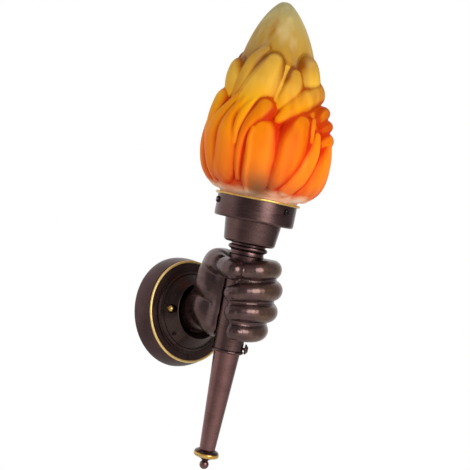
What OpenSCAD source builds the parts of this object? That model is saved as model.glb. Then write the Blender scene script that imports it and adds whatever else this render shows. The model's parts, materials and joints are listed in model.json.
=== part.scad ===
// Torch sconce: a cast left hand on a round wall canopy grips a leaning torch with a flame-shaped glass.
// +Z is up, the wall is the plane y = 0 and the sconce stands out towards -Y.
// Lengths marked d are distances from the wall, lengths marked s run along the torch from the wrist's height.

/* [Wall canopy] */
// Diameter of the canopy at the wall
canopy_d = 120; // [116:1:150]
// Diameter of the canopy at its shoulder
shoulder_d = 112; // [108:1:114]
// Distance from the wall to the canopy's front face
canopy_depth = 21.5; // [18:0.5:26]
// Sheet thickness of the canopy
canopy_wall = 1.6; // [1:0.1:2.5]
// Straight strip of the canopy's side next to the wall
canopy_skirt = 2; // [1:0.5:4]
// Diameter of the gilt ring's centre line
gilt_ring_d = 109; // [104:0.5:110]
// Thickness of the gilt ring
gilt_ring_t = 2.8; // [2:0.1:3.6]

/* [Boss] */
// Diameter of the boss where it sits on the canopy
boss_d = 92; // [88:1:100]
// Diameter of the boss at its front lip
boss_lip_d = 62; // [56:1:64]
// Distance from the canopy's front face to the lip
boss_rise = 16; // [13:0.5:20]
// Wall of the boss
boss_wall = 1.8; // [1.2:0.1:2.4]
// Depth of the dish inside the lip
boss_dish = 4.6; // [3:0.1:6]

/* [Wall crossbar] */
// Length of the steel crossbar
bar_len = 104; // [100:1:110]
// Width of the steel crossbar
bar_w = 16; // [13:1:20]
// Thickness of the steel crossbar
bar_t = 1.5; // [1.2:0.1:2.5]
// Distance between the two wall slots
slot_spacing = 88; // [86:1:92]
// Width of a wall slot
slot_w = 4.6; // [4:0.1:5.2]
// Length of a wall slot from end to end
slot_len = 10; // [8:0.5:12]
// Distance between the two studs
stud_spacing = 70; // [66:1:74]
// Diameter of a stud
stud_d = 4; // [3:0.5:5]
// Diameter of the supply cable's hole
supply_hole_d = 10.5; // [8:0.5:13]

/* [Terminal block] */
// Distance between the block's poles
pole_pitch = 10.5; // [9.5:0.5:12]
// Height of the block
block_h = 17; // [15:1:20]
// Depth of the block from its seat
block_depth = 13; // [12:0.5:14]
// Bore of a pole
pole_bore = 3.4; // [3:0.1:4]

/* [Torch] */
// Distance from the wall to the torch's axis at the height of the wrist
torch_standoff = 94.8; // [90:0.1:125]
// How far the torch leans out from the wall
torch_lean = 12.45; // [8:0.05:16]
// Radius of the grip tube at its lower end
grip_r_low = 15.6; // [14:0.1:17]
// Radius of the grip tube at its upper end
grip_r_top = 17.8; // [17:0.1:20]
// Wall of the grip tube
grip_wall = 2; // [1.5:0.1:3]
// Height of the grip tube's lower end
grip_low = -40.5; // [-50:0.5:-37]
// Height of the grip tube's upper end
grip_top = 58; // [56:0.5:66]
// Length of the tapered shaft below the collar
taper_len = 104; // [80:1:130]
// Radius of the tapered shaft under the collar
taper_r_top = 13.8; // [12.8:0.1:14.6]
// Radius of the tapered shaft at the finial
taper_r_low = 8.3; // [7:0.1:10]
// Wall of the tapered shaft
taper_wall = 2; // [1.5:0.1:3]
// Radius of the collar ring
collar_r = 17; // [16.6:0.1:19]
// Height of the collar ring
collar_h = 3.6; // [3:0.1:5]
// Diameter of the thumb screw's thread
thumb_d = 3; // [2.5:0.1:4]
// Radius of the thumb screw's head
thumb_r = 5.4; // [4.5:0.1:6]

/* [Finial] */
// Radius of the finial's dish
dish_r = 12.6; // [11:0.1:15]
// Radius of the gilt band round the dish
band_r = 13.5; // [13:0.1:16]
// Height of the gilt band
band_h = 4.6; // [3.5:0.1:6]
// Diameter of the finial's ball
ball_d = 9.8; // [8:0.1:12]

/* [Neck and lamp cup] */
// Height of the turned neck ring
neck_h = 12.5; // [11:0.5:16]
// Radius of the neck ring's bead
neck_bead_r = 20.8; // [20:0.1:23]
// Height of the lamp cup
cup_h = 24; // [22:0.5:30]
// Radius of the cup at its floor
cup_r_low = 27.2; // [26:0.1:30]
// Radius of the cup at its mouth
cup_r_top = 29.6; // [27:0.1:34]
// Wall of the cup and the gallery
cup_wall = 1.2; // [1:0.1:1.6]

/* [Gallery] */
// Radius of the gallery that takes the glass
gallery_r = 41.8; // [41.8:0.1:46]
// Height of the gallery's wall
gallery_h = 22.4; // [20:0.2:28]
// Radius of the gilt rim
rim_r = 44.8; // [44.6:0.1:47]
// Thickness of the gilt rim
rim_t = 2.8; // [2:0.1:3.6]
// Direction of the first glass screw round the torch, from +X
screw_azimuth = 276; // [0:1:360]
// Height of the glass screws above the gallery's floor
screw_up = 16; // [12:0.5:18]
// Thread diameter of a glass screw
screw_d = 4; // [3:0.5:5]

/* [Flame glass] */
// Radius of the glass neck
glass_neck_r = 39.2; // [36:0.1:39.6]
// Wall of the glass
glass_wall = 3.2; // [2.5:0.1:4]
// Widest radius of the flame
flame_r = 69; // [58:0.5:80]
// Height of the flame above the neck
flame_h = 206; // [170:1:248]
// How far the tip hangs back towards the wall
flame_back = 18; // [0:1:24]
// Depth of the folds between the petals, as a share of the radius
fold_depth = 0.09; // [0:0.01:0.14]
// Number of petals round the flame
petals = 9; // [6:1:12]

/* [Lampholder and bulb] */
// Outer radius of the lampholder
holder_r = 19.5; // [19:0.1:21]
// Wall of the lampholder
holder_wall = 1.8; // [1.5:0.1:2.2]
// Outer radius of the lampholder's screw shell
shell_r = 14.2; // [14.1:0.1:15]
// Radius of the bulb's screw cap
bulb_cap_r = 13.2; // [13:0.05:13.3]
// Radius of the bulb
bulb_r = 30; // [22:0.5:31]
// Length of the bulb's glass above its cap
bulb_len = 84; // [70:1:90]
// Diameter of a wire over its insulation
wire_d = 2.2; // [1.8:0.1:2.6]
// Outer diameter of the threaded nipples
nipple_d = 10; // [9:0.5:11]
// Bore of the threaded nipples
nipple_bore = 7.8; // [7:0.1:8]

/* [Hand] */
// Radius of the wrist at the boss
wrist_r = 21; // [18:0.5:23]
// Thickness of the fingers, as a share of a grown hand's
finger_size = 1; // [0.9:0.01:1.05]

/* [Hidden] */

// Fineness of curves: plain turned work, and the small hardware
$fn = 96;
hardware_fn = 48;
// Overlap that lets a cut run through a face
over = 1;
// Radial clearance of a rod in its hole, and the gap between pieces that part
fit_gap = 0.1;
part_gap = 0.3;
thread_gap = 0.05;

// Colours
bronze = [0.29, 0.22, 0.22];
gilt = [0.85, 0.65, 0.25];
brass = [0.80, 0.62, 0.30];
steel = [0.66, 0.67, 0.69];
cream = [0.90, 0.88, 0.82];
flame_orange = [0.95, 0.48, 0.12];

// Wall side
shoulder_r = shoulder_d / 2;
canopy_r = canopy_d / 2;
boss_r = boss_d / 2;
lip_r = boss_lip_d / 2;
lip_at = canopy_depth + boss_rise;
web_front = lip_at - boss_dish;
web_r = wrist_r + 2;
web_t = 2;
boss_step = 2.4;
bead_up = 4.4;
bead_in = 4.6;
lip_w = 2.2;
stud_x = stud_spacing / 2;
cone_r_low = boss_r - bead_in - 1;
cone_at_low = canopy_depth + bead_up;
// Distance from the wall to the cone's surface at a radius
function cone_at(r) = cone_at_low + (cone_r_low - r) * (lip_at - 1 - cone_at_low) / (cone_r_low - lip_r);
seat_r = 4.6;
seat_wall = 1.6;
dome_r = 3.6;
seat_at = cone_at(stud_x + dome_r - part_gap);
dome_skirt = 2.6;
stud_end = seat_at + dome_skirt + 1;
lock_nut_t = 3.2;
lock_nut_af = 7;
canopy_open_r = boss_r - bead_in;
boss_screw_angle = 224;
boss_screw_r = 37.5;
boss_screw_d = 3.6;

// Crossbar's tab, terminal block and earth point
tab_w = 20;
block_top = -(bar_w / 2 + 9);
block_bottom = block_top - block_h;
tab_end = block_bottom - 2;
block_w = 3 * pole_pitch;
block_mid = bar_t + block_depth / 2;
earth_x = 20;
earth_d = 4;
tag_t = 0.8;
tag_r = 4.2;

// Wrist fixing
nipple_r = nipple_d / 2;
nipple_start = web_front - web_t - 8;
nipple_end = web_front + 16;
m10_af = 14;
m10_t = 3.2;
washer_t = 1;
washer_r = 9;
passage_r = 7;

// Torch stack, as heights along the torch
grip_plate = 3;
neck_start = grip_top;
cup_floor = neck_start + neck_h;
cup_floor_t = 1.8;
gallery_floor = cup_floor + cup_h;
gallery_floor_t = 1.5;
gallery_top = gallery_floor + gallery_h;
cup_corner = 4;
gallery_corner = 2.6;
neck_nipple_start = grip_top - grip_plate - 7;
neck_nipple_end = cup_floor + cup_floor_t + 7;
holder_base = cup_floor + cup_floor_t + m10_t;
holder_join = gallery_floor - 1.5;
holder_top = holder_join + 34;
holder_seat = 1;
insert_t = 5;
insert_top = holder_join - holder_seat + insert_t;
screw_count = 3;
ring_t = 3.6;
ring_r = 25.5;
ring_at = gallery_floor + gallery_floor_t;
gasket_t = 1.5;
gasket_in = 5;
glass_base = ring_at + gasket_t + part_gap;
screw_at = gallery_floor + screw_up;

// Collar, tapered shaft and finial
collar_at = grip_low - collar_h / 2;
spigot_len = 16;
spigot_bore = 9;
taper_start = grip_low;
taper_end = taper_start - collar_h - taper_len;
taper_plug = 8;
dish_h = 12.5;
band_at = taper_end - 3;
ball_sink = 0.9;
ball_at = taper_end - dish_h - ball_d / 2 + ball_sink;
finial_stud_d = 4;
thumb_t = 2.6;
thumb_top_r = 3.6;
thumb_edge = 1;
thumb_at = grip_low + thumb_edge + thumb_d / 2;
thumb_azimuth = 321;
thumb_seat = collar_r + part_gap;

// Lampholder and bulb, as heights along the torch
shell_len = 24;
shell_wall = 0.5;
contact_t = 1.2;
contact_r = 3.5;
tip_at = insert_top + contact_t + part_gap;
tip_t = 1.6;
insulator_t = 3;
bulb_cap_start = tip_at + tip_t + insulator_t;
bulb_cap_len = 22;
bulb_cap_end = bulb_cap_start + bulb_cap_len;
bulb_cap_wall = 0.4;
bulb_cap_pitch = 3.6;
bulb_thread = 0.7;
bulb_neck_r = bulb_cap_r - bulb_cap_wall - bulb_thread - fit_gap;
bulb_wall = 0.8;
bulb_top = bulb_cap_end + bulb_len;
bulb_mid = bulb_top - bulb_r;
stem_base = bulb_cap_end - 3;
stem_h = 30;
filament_r = 9;
filament_d = 0.8;

// Frame whose local Z points out from the wall, d from it, with local Y up
module from_wall(d = 0) {
    rotate([90, 0, 0])
    translate([0, 0, d])
    children();
}

// Frame of the torch: its axis is local Z, local Y points back to the wall
module on_torch(s = 0) {
    translate([0, -torch_standoff, 0])
    rotate([torch_lean, 0, 0])
    translate([0, 0, s])
    children();
}

// Frame that points out from the torch's axis at an angle, with local X along the radius
module around_torch(s, angle) {
    on_torch(s)
    rotate([0, 0, angle])
    children();
}

// Points of an arc about c, from angle a to angle b in n steps
function arc(c, r, a, b, n = 6) = [for (i = [0:n]) c + r * [cos(a + (b - a) * i / n), sin(a + (b - a) * i / n)]];

// Point of the torch frame in the sconce's own frame
function torch_point(p) = [
    p.x,
    -torch_standoff + p.y * cos(torch_lean) - p.z * sin(torch_lean),
    p.y * sin(torch_lean) + p.z * cos(torch_lean)
];

module turned(points) {
    rotate_extrude()
    polygon(points);
}

module hex_nut(af, t, bore_r) {
    difference() {
        cylinder(h = t, d = af / cos(30), $fn = 6);
        translate([0, 0, -over])
        cylinder(h = t + 2 * over, r = bore_r, $fn = hardware_fn);
    }
}

module at_studs() {
    for (side = [-1, 1])
        translate([side * stud_x, 0, 0])
        children();
}

// ---- Wall side ----

module slot_cut() {
    translate([-(slot_len - slot_w) / 2, 0, 0])
    cylinder(h = bar_t + 2 * over, d = slot_w, $fn = hardware_fn);
    translate([(slot_len - slot_w) / 2, 0, 0])
    cylinder(h = bar_t + 2 * over, d = slot_w, $fn = hardware_fn);
    translate([-(slot_len - slot_w) / 2, -slot_w / 2, 0])
    cube([slot_len - slot_w, slot_w, bar_t + 2 * over]);
}

module wall_crossbar() {
    color(steel)
    from_wall()
    difference() {
        union() {
            translate([-bar_len / 2, -bar_w / 2, 0])
            cube([bar_len, bar_w, bar_t]);
            translate([-tab_w / 2, tab_end, 0])
            cube([tab_w, -tab_end, bar_t]);
        }
        for (side = [-1, 1])
            translate([side * slot_spacing / 2, 0, -over])
            slot_cut();
        translate([0, 0, -over])
        cylinder(h = bar_t + 2 * over, d = supply_hole_d);
        translate([0, 0, -over])
        at_studs()
        cylinder(h = bar_t + 2 * over, r = stud_d / 2 + thread_gap, $fn = hardware_fn);
        translate([earth_x, 0, -over])
        cylinder(h = bar_t + 2 * over, r = earth_d / 2 + thread_gap, $fn = hardware_fn);
    }
}

module mounting_studs() {
    color(steel)
    from_wall()
    at_studs()
    cylinder(h = stud_end, d = stud_d, $fn = hardware_fn);
}

module stud_lock_nuts() {
    color(steel)
    from_wall(bar_t)
    at_studs()
    hex_nut(lock_nut_af, lock_nut_t, stud_d / 2 + thread_gap);
}

module dome_nuts() {
    color(brass)
    from_wall(seat_at)
    at_studs()
    difference() {
        union() {
            cylinder(h = dome_skirt, r = dome_r, $fn = hardware_fn);
            translate([0, 0, dome_skirt])
            intersection() {
                sphere(r = dome_r, $fn = hardware_fn);
                cylinder(h = dome_r + over, r = dome_r + over, $fn = hardware_fn);
            }
        }
        translate([0, 0, -over])
        cylinder(h = stud_end - seat_at + over + part_gap, r = stud_d / 2 + thread_gap, $fn = hardware_fn);
    }
}

module earth_screw() {
    color(brass)
    from_wall()
    translate([earth_x, 0, 0]) {
        cylinder(h = bar_t + tag_t, d = earth_d, $fn = hardware_fn);
        difference() {
            translate([0, 0, bar_t + tag_t])
            cylinder(h = 2.4, d = 7.5, $fn = hardware_fn);
            translate([-0.5, -5, bar_t + tag_t + 1.2])
            cube([1, 10, 2]);
        }
    }
}

module earth_tag() {
    color(brass)
    from_wall(bar_t)
    translate([earth_x, 0, 0])
    difference() {
        union() {
            cylinder(h = tag_t, r = tag_r, $fn = hardware_fn);
            translate([-1.6, -9, 0])
            cube([3.2, 9, tag_t]);
            translate([0, -6.6, tag_t + wire_d / 2])
            rotate([90, 0, 0])
            cylinder(h = 4, d = wire_d + 1.6, $fn = hardware_fn);
        }
        translate([0, 0, -over])
        cylinder(h = tag_t + 2 * over, r = earth_d / 2 + fit_gap, $fn = hardware_fn);
        translate([0, -7.6, tag_t + wire_d / 2])
        rotate([90, 0, 0])
        cylinder(h = 4, d = wire_d + 0.3, $fn = hardware_fn);
    }
}

// Side of the canopy, drawn in by an inset
function canopy_side(inset, n = 8) = [
    for (i = [0:n])
        let (k = i / n)
        [canopy_r - inset - (canopy_r - shoulder_r) * pow(k, 1.6),
         canopy_skirt + (canopy_depth - 1.6 - canopy_skirt) * k - inset * k]
];

module canopy_drum() {
    inner_depth = canopy_depth - canopy_wall;
    color(bronze)
    from_wall()
    difference() {
        turned(concat(
            [[canopy_r, 0]],
            canopy_side(0),
            [[gilt_ring_d / 2, canopy_depth], [canopy_open_r, canopy_depth], [canopy_open_r, inner_depth]],
            [[shoulder_r - canopy_wall - 1.6, inner_depth]],
            [for (i = [8:-1:0]) canopy_side(canopy_wall)[i]],
            [[canopy_r - canopy_wall, 0]]
        ));
        // seam at the foot of the front face
        translate([-0.4, -(gilt_ring_d / 2 - 2), canopy_depth - 0.4])
        cube([0.8, gilt_ring_d / 2 - 2 - boss_r, 1]);
    }
}

module canopy_ring() {
    half = gilt_ring_t / 2;
    color(gilt)
    from_wall(canopy_depth)
    rotate_extrude()
    translate([gilt_ring_d / 2, 0])
    intersection() {
        circle(r = half, $fn = hardware_fn);
        translate([-half - over, 0])
        square([gilt_ring_t + 2 * over, half + over]);
    }
}

// Outline of the boss's outer face from its foot to the lip
function boss_face(inset) = [
    [boss_r - inset, canopy_depth],
    [boss_r - inset, canopy_depth + boss_step - 0.6 - inset * 0.4],
    [boss_r - inset - 0.6, canopy_depth + boss_step - inset * 0.4],
    [boss_r - inset - bead_in + 2, canopy_depth + boss_step + 0.3 - inset * 0.4],
    [boss_r - inset - bead_in + 1, canopy_depth + bead_up - 0.7 - inset * 0.6],
    [boss_r - inset - bead_in, canopy_depth + bead_up + 0.3 - inset * 0.6],
    [cone_r_low - inset, canopy_depth + bead_up - inset * 0.6]
];

// Hollow behind the boss, up to its web
module boss_cavity() {
    web_back = web_front - web_t;
    turned(concat(
        [[0, canopy_depth - over], [boss_r - boss_wall, canopy_depth - over]],
        boss_face(boss_wall),
        [[lip_r - lip_w / 2 - 0.7, lip_at - 2.5], [web_r + 0.8, web_back], [0, web_back]]
    ));
}

module canopy_boss() {
    color(bronze)
    from_wall()
    difference() {
        turned(concat(
            [[0, canopy_depth]],
            boss_face(0),
            [[lip_r, lip_at - 1], [lip_r - 0.5, lip_at - 0.2], [lip_r - lip_w / 2, lip_at]],
            [[lip_r - lip_w, lip_at - 0.7], [web_r, web_front], [0, web_front]]
        ));
        // the hollow goes round the pockets that seat the dome nuts
        difference() {
            boss_cavity();
            at_studs()
            translate([0, 0, seat_at - seat_wall])
            cylinder(h = boss_rise, r = seat_r + seat_wall, $fn = hardware_fn);
        }
        cylinder(h = lip_at, r = nipple_r + fit_gap);
        at_studs() {
            translate([0, 0, seat_at])
            cylinder(h = boss_rise, r = seat_r, $fn = hardware_fn);
            cylinder(h = lip_at, r = stud_d / 2 + part_gap, $fn = hardware_fn);
        }
        rotate([0, 0, boss_screw_angle])
        translate([boss_screw_r, 0, 0])
        cylinder(h = lip_at, r = boss_screw_d / 2 + thread_gap, $fn = hardware_fn);
    }
}

module boss_screw() {
    screw_len = 7;
    head_at = cone_at(boss_screw_r - boss_screw_d / 2);
    color(bronze)
    from_wall(head_at - screw_len)
    rotate([0, 0, boss_screw_angle])
    translate([boss_screw_r, 0, 0])
    difference() {
        cylinder(h = screw_len, d = boss_screw_d, $fn = hardware_fn);
        translate([0, 0, screw_len - 1.4])
        cylinder(h = 2, d = 2, $fn = 6);
    }
}

module wrist_nipple() {
    color(steel)
    from_wall(nipple_start)
    difference() {
        cylinder(h = nipple_end - nipple_start, r = nipple_r);
        translate([0, 0, -over])
        cylinder(h = nipple_end - nipple_start + 2 * over, d = nipple_bore);
    }
}

module wrist_washer() {
    color(steel)
    from_wall(web_front - web_t - washer_t)
    difference() {
        cylinder(h = washer_t, r = washer_r);
        translate([0, 0, -over])
        cylinder(h = washer_t + 2 * over, r = nipple_r + fit_gap);
    }
}

module wrist_nut() {
    color(brass)
    from_wall(web_front - web_t - washer_t - m10_t)
    hex_nut(m10_af, m10_t, nipple_r + thread_gap);
}

// Centres of the block's poles, from left to right
function pole_x(i) = (i - 1) * pole_pitch;

module terminal_block() {
    screw_bore = 3.6;
    color(cream)
    from_wall(bar_t)
    difference() {
        translate([-block_w / 2, block_bottom, 0])
        cube([block_w, block_h, block_depth]);
        for (i = [0:2]) {
            translate([pole_x(i), block_bottom - over, block_depth / 2])
            rotate([-90, 0, 0])
            cylinder(h = block_h + 2 * over, d = pole_bore, $fn = hardware_fn);
            for (y = [block_bottom + block_h / 4, block_top - block_h / 4])
                translate([pole_x(i), y, block_depth / 2])
                cylinder(h = block_depth, d = screw_bore, $fn = hardware_fn);
        }
        for (i = [0:1])
            translate([pole_x(i) + pole_pitch / 2 - 0.8, block_bottom - over, block_depth - 3])
            cube([1.6, block_h + 2 * over, 4]);
    }
}

module terminal_screws() {
    grub_d = 3.5;
    grub_at = bar_t + block_depth / 2 + wire_d / 2 + fit_gap;
    grub_len = block_depth / 2 - wire_d / 2 - 0.6;
    color(steel)
    from_wall(grub_at)
    for (i = [0:2], y = [block_bottom + block_h / 4, block_top - block_h / 4])
        translate([pole_x(i), y, 0])
        difference() {
            cylinder(h = grub_len, d = grub_d, $fn = hardware_fn);
            translate([-0.4, -grub_d, grub_len - 1])
            cube([0.8, 2 * grub_d, 2]);
        }
}

// ---- Wires, each one unbroken tube along a route with rounded corners ----

wire_sides = 8;
bend_steps = 4;
bend_len = 7;
function unit(v) = v / norm(v);
// Rounded corner at point i of route p
function corner(p, i) =
    let (
        back = p[i - 1] - p[i],
        ahead = p[i + 1] - p[i],
        a = p[i] + unit(back) * min(bend_len, 0.45 * norm(back)),
        b = p[i] + unit(ahead) * min(bend_len, 0.45 * norm(ahead))
    )
    [for (k = [0:bend_steps]) let (t = k / bend_steps) (1 - t) * (1 - t) * a + 2 * t * (1 - t) * p[i] + t * t * b];
function rounded(p) = concat(
    [p[0]],
    [for (i = [1:len(p) - 2]) each corner(p, i)],
    [p[len(p) - 1]]
);
function direction(p, i) = unit(p[min(i + 1, len(p) - 1)] - p[max(i - 1, 0)]);
// Ring of points round point i of a route, square to the route and kept from twisting by the X axis
function wire_ring(p, i) =
    let (
        along = direction(p, i),
        side = unit([1, 0, 0] - along * along.x),
        up = cross(along, side)
    )
    [for (j = [0:wire_sides - 1])
        p[i] + wire_d / 2 * (side * cos(360 * j / wire_sides) + up * sin(360 * j / wire_sides))];

module wire(route) {
    p = rounded(route);
    count = len(p);
    points = [for (i = [0:count - 1]) each wire_ring(p, i)];
    walls = [
        for (i = [0:count - 2], j = [0:wire_sides - 1])
            let (
                a = i * wire_sides + j,
                b = i * wire_sides + (j + 1) % wire_sides
            )
            each [[a, b, b + wire_sides], [a, b + wire_sides, a + wire_sides]]
    ];
    first_cap = [for (j = [1:wire_sides - 2]) [0, j + 1, j]];
    last = (count - 1) * wire_sides;
    last_cap = [for (j = [1:wire_sides - 2]) [last, last + j, last + j + 1]];
    polyhedron(points = points, faces = concat(first_cap, walls, last_cap));
}

wire_side = 1.7;
wire_up = 1.0;
// Route of a lamp wire on one side of the bore, from its pole to the lampholder's base
function lamp_route(pole, side) = [
    [pole_x(pole), -block_mid, block_top - 3.5],
    [pole_x(pole), -block_mid, block_top + 5],
    [side * wire_side, -(nipple_start - 5), wire_up - 3],
    [side * wire_side, -(nipple_start + 1), wire_up],
    [side * wire_side, -nipple_end, wire_up],
    [side * wire_side, -(torch_standoff - 1), wire_up + 1],
    torch_point([side * wire_side, -wire_up, neck_nipple_start - 4]),
    torch_point([side * wire_side, -wire_up, neck_nipple_end + 3]),
    torch_point([side * 8, -wire_up, insert_top - insert_t - 5]),
    torch_point([side * 8, -wire_up, insert_top - insert_t - 0.2])
];

module live_wire() {
    color("saddlebrown")
    wire(lamp_route(0, -1));
}

module neutral_wire() {
    color("steelblue")
    wire(lamp_route(1, 1));
}

module earth_wire() {
    tag_axis = -(bar_t + tag_t + wire_d / 2);
    color("yellowgreen")
    wire([
        [pole_x(2), -block_mid, block_top - 3.5],
        [pole_x(2), -block_mid, block_top + 3.5],
        [earth_x, tag_axis, block_top + 4],
        [earth_x, tag_axis, -8]
    ]);
}

// ---- Hand ----
// Points are given in the torch's frame; angle 0 is +X, 90 is towards the wall.
function polar(r, angle, s) = [r * cos(angle), r * sin(angle), s];

module flesh(p, r) {
    translate(p)
    sphere(r = r * finger_size, $fn = 18);
}

module limb(a, ra, b, rb) {
    hull() {
        flesh(a, ra);
        flesh(b, rb);
    }
}

// One finger from its knuckle, round the front of the torch, to its tip
module finger(bend_s, tip_s, r) {
    near_s = (bend_s + 2 * tip_s) / 3;
    limb(polar(31, 14, bend_s), r, polar(32.5, 316, bend_s), r);
    limb(polar(32.5, 316, bend_s), r, polar(28.5, 256, near_s), r * 0.93);
    limb(polar(28.5, 256, near_s), r * 0.93, polar(26.5, 214, tip_s), r * 0.84);
}

wrist_knot = [0, 44, 0];
module hand_solid() {
    finger(47, 38, 10.2);
    finger(27, 18, 10.7);
    finger(5.5, -2, 10.2);
    finger(-15, -19.5, 9.2);
    // back of the hand and heel
    hull() {
        flesh(polar(31, 14, 47), 10);
        flesh(polar(31, 14, 5), 10);
        flesh(wrist_knot + [3, 0, 10], 18);
    }
    hull() {
        flesh(polar(31, 14, 5), 10);
        flesh(polar(31, 14, -15), 9);
        flesh(wrist_knot + [2, 0, 0], 18);
    }
    hull() {
        flesh(polar(31, 14, -15), 9);
        flesh([-11, 27, -18], 11);
        flesh(wrist_knot + [0, 0, -2], 18);
    }
    // ball and both bones of the thumb
    hull() {
        flesh([-11, 27, -18], 11);
        flesh([-25, 19, 8], 13);
        flesh(wrist_knot, 18);
    }
    hull() {
        flesh([-25, 19, 8], 13);
        flesh([-28, 15, 42], 13.5);
        flesh(wrist_knot + [0, 0, 10], 18);
    }
    limb([-28, 15, 42], 13.5, [-34, -8, 45], 10.5);
    limb([-34, -8, 45], 10.5, [-23, -26, 45], 9);
    // web between thumb and first finger
    hull() {
        flesh([-24, 14, 46], 12);
        flesh([12, 24, 48], 10);
        flesh(wrist_knot + [0, 0, 14], 14);
    }
}

module hand_casting() {
    sink = 24;
    color(bronze)
    difference() {
        union() {
            on_torch()
            hand_solid();
            hull() {
                from_wall(web_front)
                cylinder(h = 2, r = wrist_r, $fn = 40);
                on_torch()
                flesh(wrist_knot, 18.5);
            }
        }
        // seat on the boss
        translate([-canopy_r, -web_front, -canopy_r])
        cube([canopy_d, sink, canopy_d]);
        // room for the boss's lip
        from_wall()
        turned([
            [web_r, 0], [canopy_r, 0], [canopy_r, lip_at + part_gap],
            [lip_r - lip_w, lip_at + part_gap], [web_r, web_front + part_gap]
        ]);
        // the torch's way through
        on_torch(grip_low - 10)
        cylinder(
            h = grip_top - grip_low + 40,
            r1 = grip_r_low + part_gap - 10 * grip_slope,
            r2 = grip_r_low + part_gap + (grip_top - grip_low + 30) * grip_slope,
            $fn = 64
        );
        // the nipple's and the wires' way through the wrist
        from_wall(web_front - over)
        cylinder(h = nipple_end - web_front + over, r = nipple_r + 0.15, $fn = 32);
        from_wall(nipple_end - 0.5)
        cylinder(h = torch_standoff - nipple_end, r = passage_r, $fn = 32);
    }
}

// ---- Torch ----
grip_slope = (grip_r_top - grip_r_low) / (grip_top - grip_low);

module grip_tube() {
    grip_len = grip_top - grip_low;
    color(bronze)
    difference() {
        on_torch(grip_low)
        difference() {
            cylinder(h = grip_len, r1 = grip_r_low, r2 = grip_r_top);
            translate([0, 0, -over])
            cylinder(
                h = grip_len - grip_plate + over,
                r1 = grip_r_low - grip_wall,
                r2 = grip_r_top - grip_wall - grip_slope * grip_plate
            );
            translate([0, 0, grip_len - grip_plate - over])
            cylinder(h = grip_plate + 2 * over, r = nipple_r + fit_gap);
        }
        // window for the wires
        from_wall(torch_standoff - 1.6 * grip_r_low)
        cylinder(h = 1.6 * grip_r_low, r = passage_r - 0.5);
        around_torch(thumb_at, thumb_azimuth)
        rotate([0, 90, 0])
        cylinder(h = 2 * grip_r_low, r = thumb_d / 2 + thread_gap, $fn = hardware_fn);
    }
}

module shaft_collar() {
    color(bronze)
    on_torch(grip_low - collar_h)
    difference() {
        turned(concat(
            [[0, 0], [taper_r_top, 0]],
            arc([collar_r - collar_h / 2, collar_h / 2], collar_h / 2, -90, 90, 8),
            [[0, collar_h]]
        ));
        translate([0, 0, -over])
        cylinder(h = collar_h + 2 * over, r = spigot_r() + fit_gap);
    }
}

function spigot_r() = grip_r_low - grip_wall - 2 * fit_gap - part_gap;

module taper_shaft() {
    top = taper_start - collar_h;
    color(bronze)
    difference() {
        union() {
            on_torch(taper_end)
            cylinder(h = taper_len, r1 = taper_r_low, r2 = taper_r_top);
            on_torch(top)
            cylinder(h = collar_h + spigot_len, r = spigot_r());
        }
        on_torch(taper_end + taper_plug)
        cylinder(h = taper_len - taper_plug, r1 = taper_r_low - taper_wall, r2 = taper_r_top - taper_wall - 1);
        on_torch(top - over)
        cylinder(h = collar_h + spigot_len + 2 * over, r = spigot_bore);
        on_torch(taper_end - over)
        cylinder(h = taper_plug + 2 * over, r = finial_stud_d / 2 + thread_gap, $fn = hardware_fn);
        around_torch(thumb_at, thumb_azimuth)
        rotate([0, 90, 0])
        cylinder(h = 2 * grip_r_low, r = thumb_d / 2 + fit_gap, $fn = hardware_fn);
    }
}

module collar_screw() {
    reach = thumb_seat - spigot_bore - 1.5;
    color(bronze)
    around_torch(thumb_at, thumb_azimuth)
    translate([thumb_seat, 0, 0])
    rotate([0, 90, 0]) {
        translate([0, 0, -reach])
        cylinder(h = reach, d = thumb_d, $fn = hardware_fn);
        turned([
            [0, 0], [thumb_r - 0.7, 0], [thumb_r, 0.7], [thumb_r, thumb_t - 0.9],
            [thumb_r - 1.3, thumb_t], [thumb_top_r, thumb_t],
            [thumb_top_r - 0.6, thumb_t + 1.1], [0, thumb_t + 1.4]
        ]);
    }
}

module finial_dish() {
    floor_s = taper_end - dish_h;
    color(bronze)
    on_torch(floor_s)
    difference() {
        turned([
            [0, 0], [3.2, 0], [3.6, 0.9], [6.2, 2.6], [10.6, dish_h - band_h - 3.2],
            [dish_r - 0.9, dish_h - band_h - 3], [dish_r - 0.9, dish_h - 3], [dish_r, dish_h - 2.6],
            [dish_r - 1.4, dish_h - 1.4], [taper_r_low + 0.8, dish_h - 0.4], [taper_r_low + 0.4, dish_h], [0, dish_h]
        ]);
        translate([0, 0, -over])
        cylinder(h = dish_h + 2 * over, r = finial_stud_d / 2 + fit_gap, $fn = hardware_fn);
    }
}

module finial_band() {
    inner = dish_r - 0.9 + fit_gap;
    color(gilt)
    on_torch(band_at - band_h)
    turned([
        [inner, 0], [band_r - 1.3, 0], [band_r - 0.4, 0.8], [band_r, band_h / 2 + 0.4],
        [band_r - 0.3, band_h - 0.6], [inner, band_h - 0.6]
    ]);
}

module finial_stud() {
    stud_low = ball_at - 1;
    color(steel)
    on_torch(stud_low)
    cylinder(h = taper_end + taper_plug - 1 - stud_low, d = finial_stud_d, $fn = hardware_fn);
}

module finial_ball() {
    color(bronze)
    on_torch(ball_at)
    difference() {
        intersection() {
            sphere(d = ball_d);
            translate([0, 0, -ball_d])
            cylinder(h = 1.5 * ball_d - ball_sink, r = ball_d);
        }
        translate([0, 0, -1 - part_gap])
        cylinder(h = ball_d, r = finial_stud_d / 2 + thread_gap, $fn = hardware_fn);
    }
}

// ---- Neck, cup and gallery ----

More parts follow.
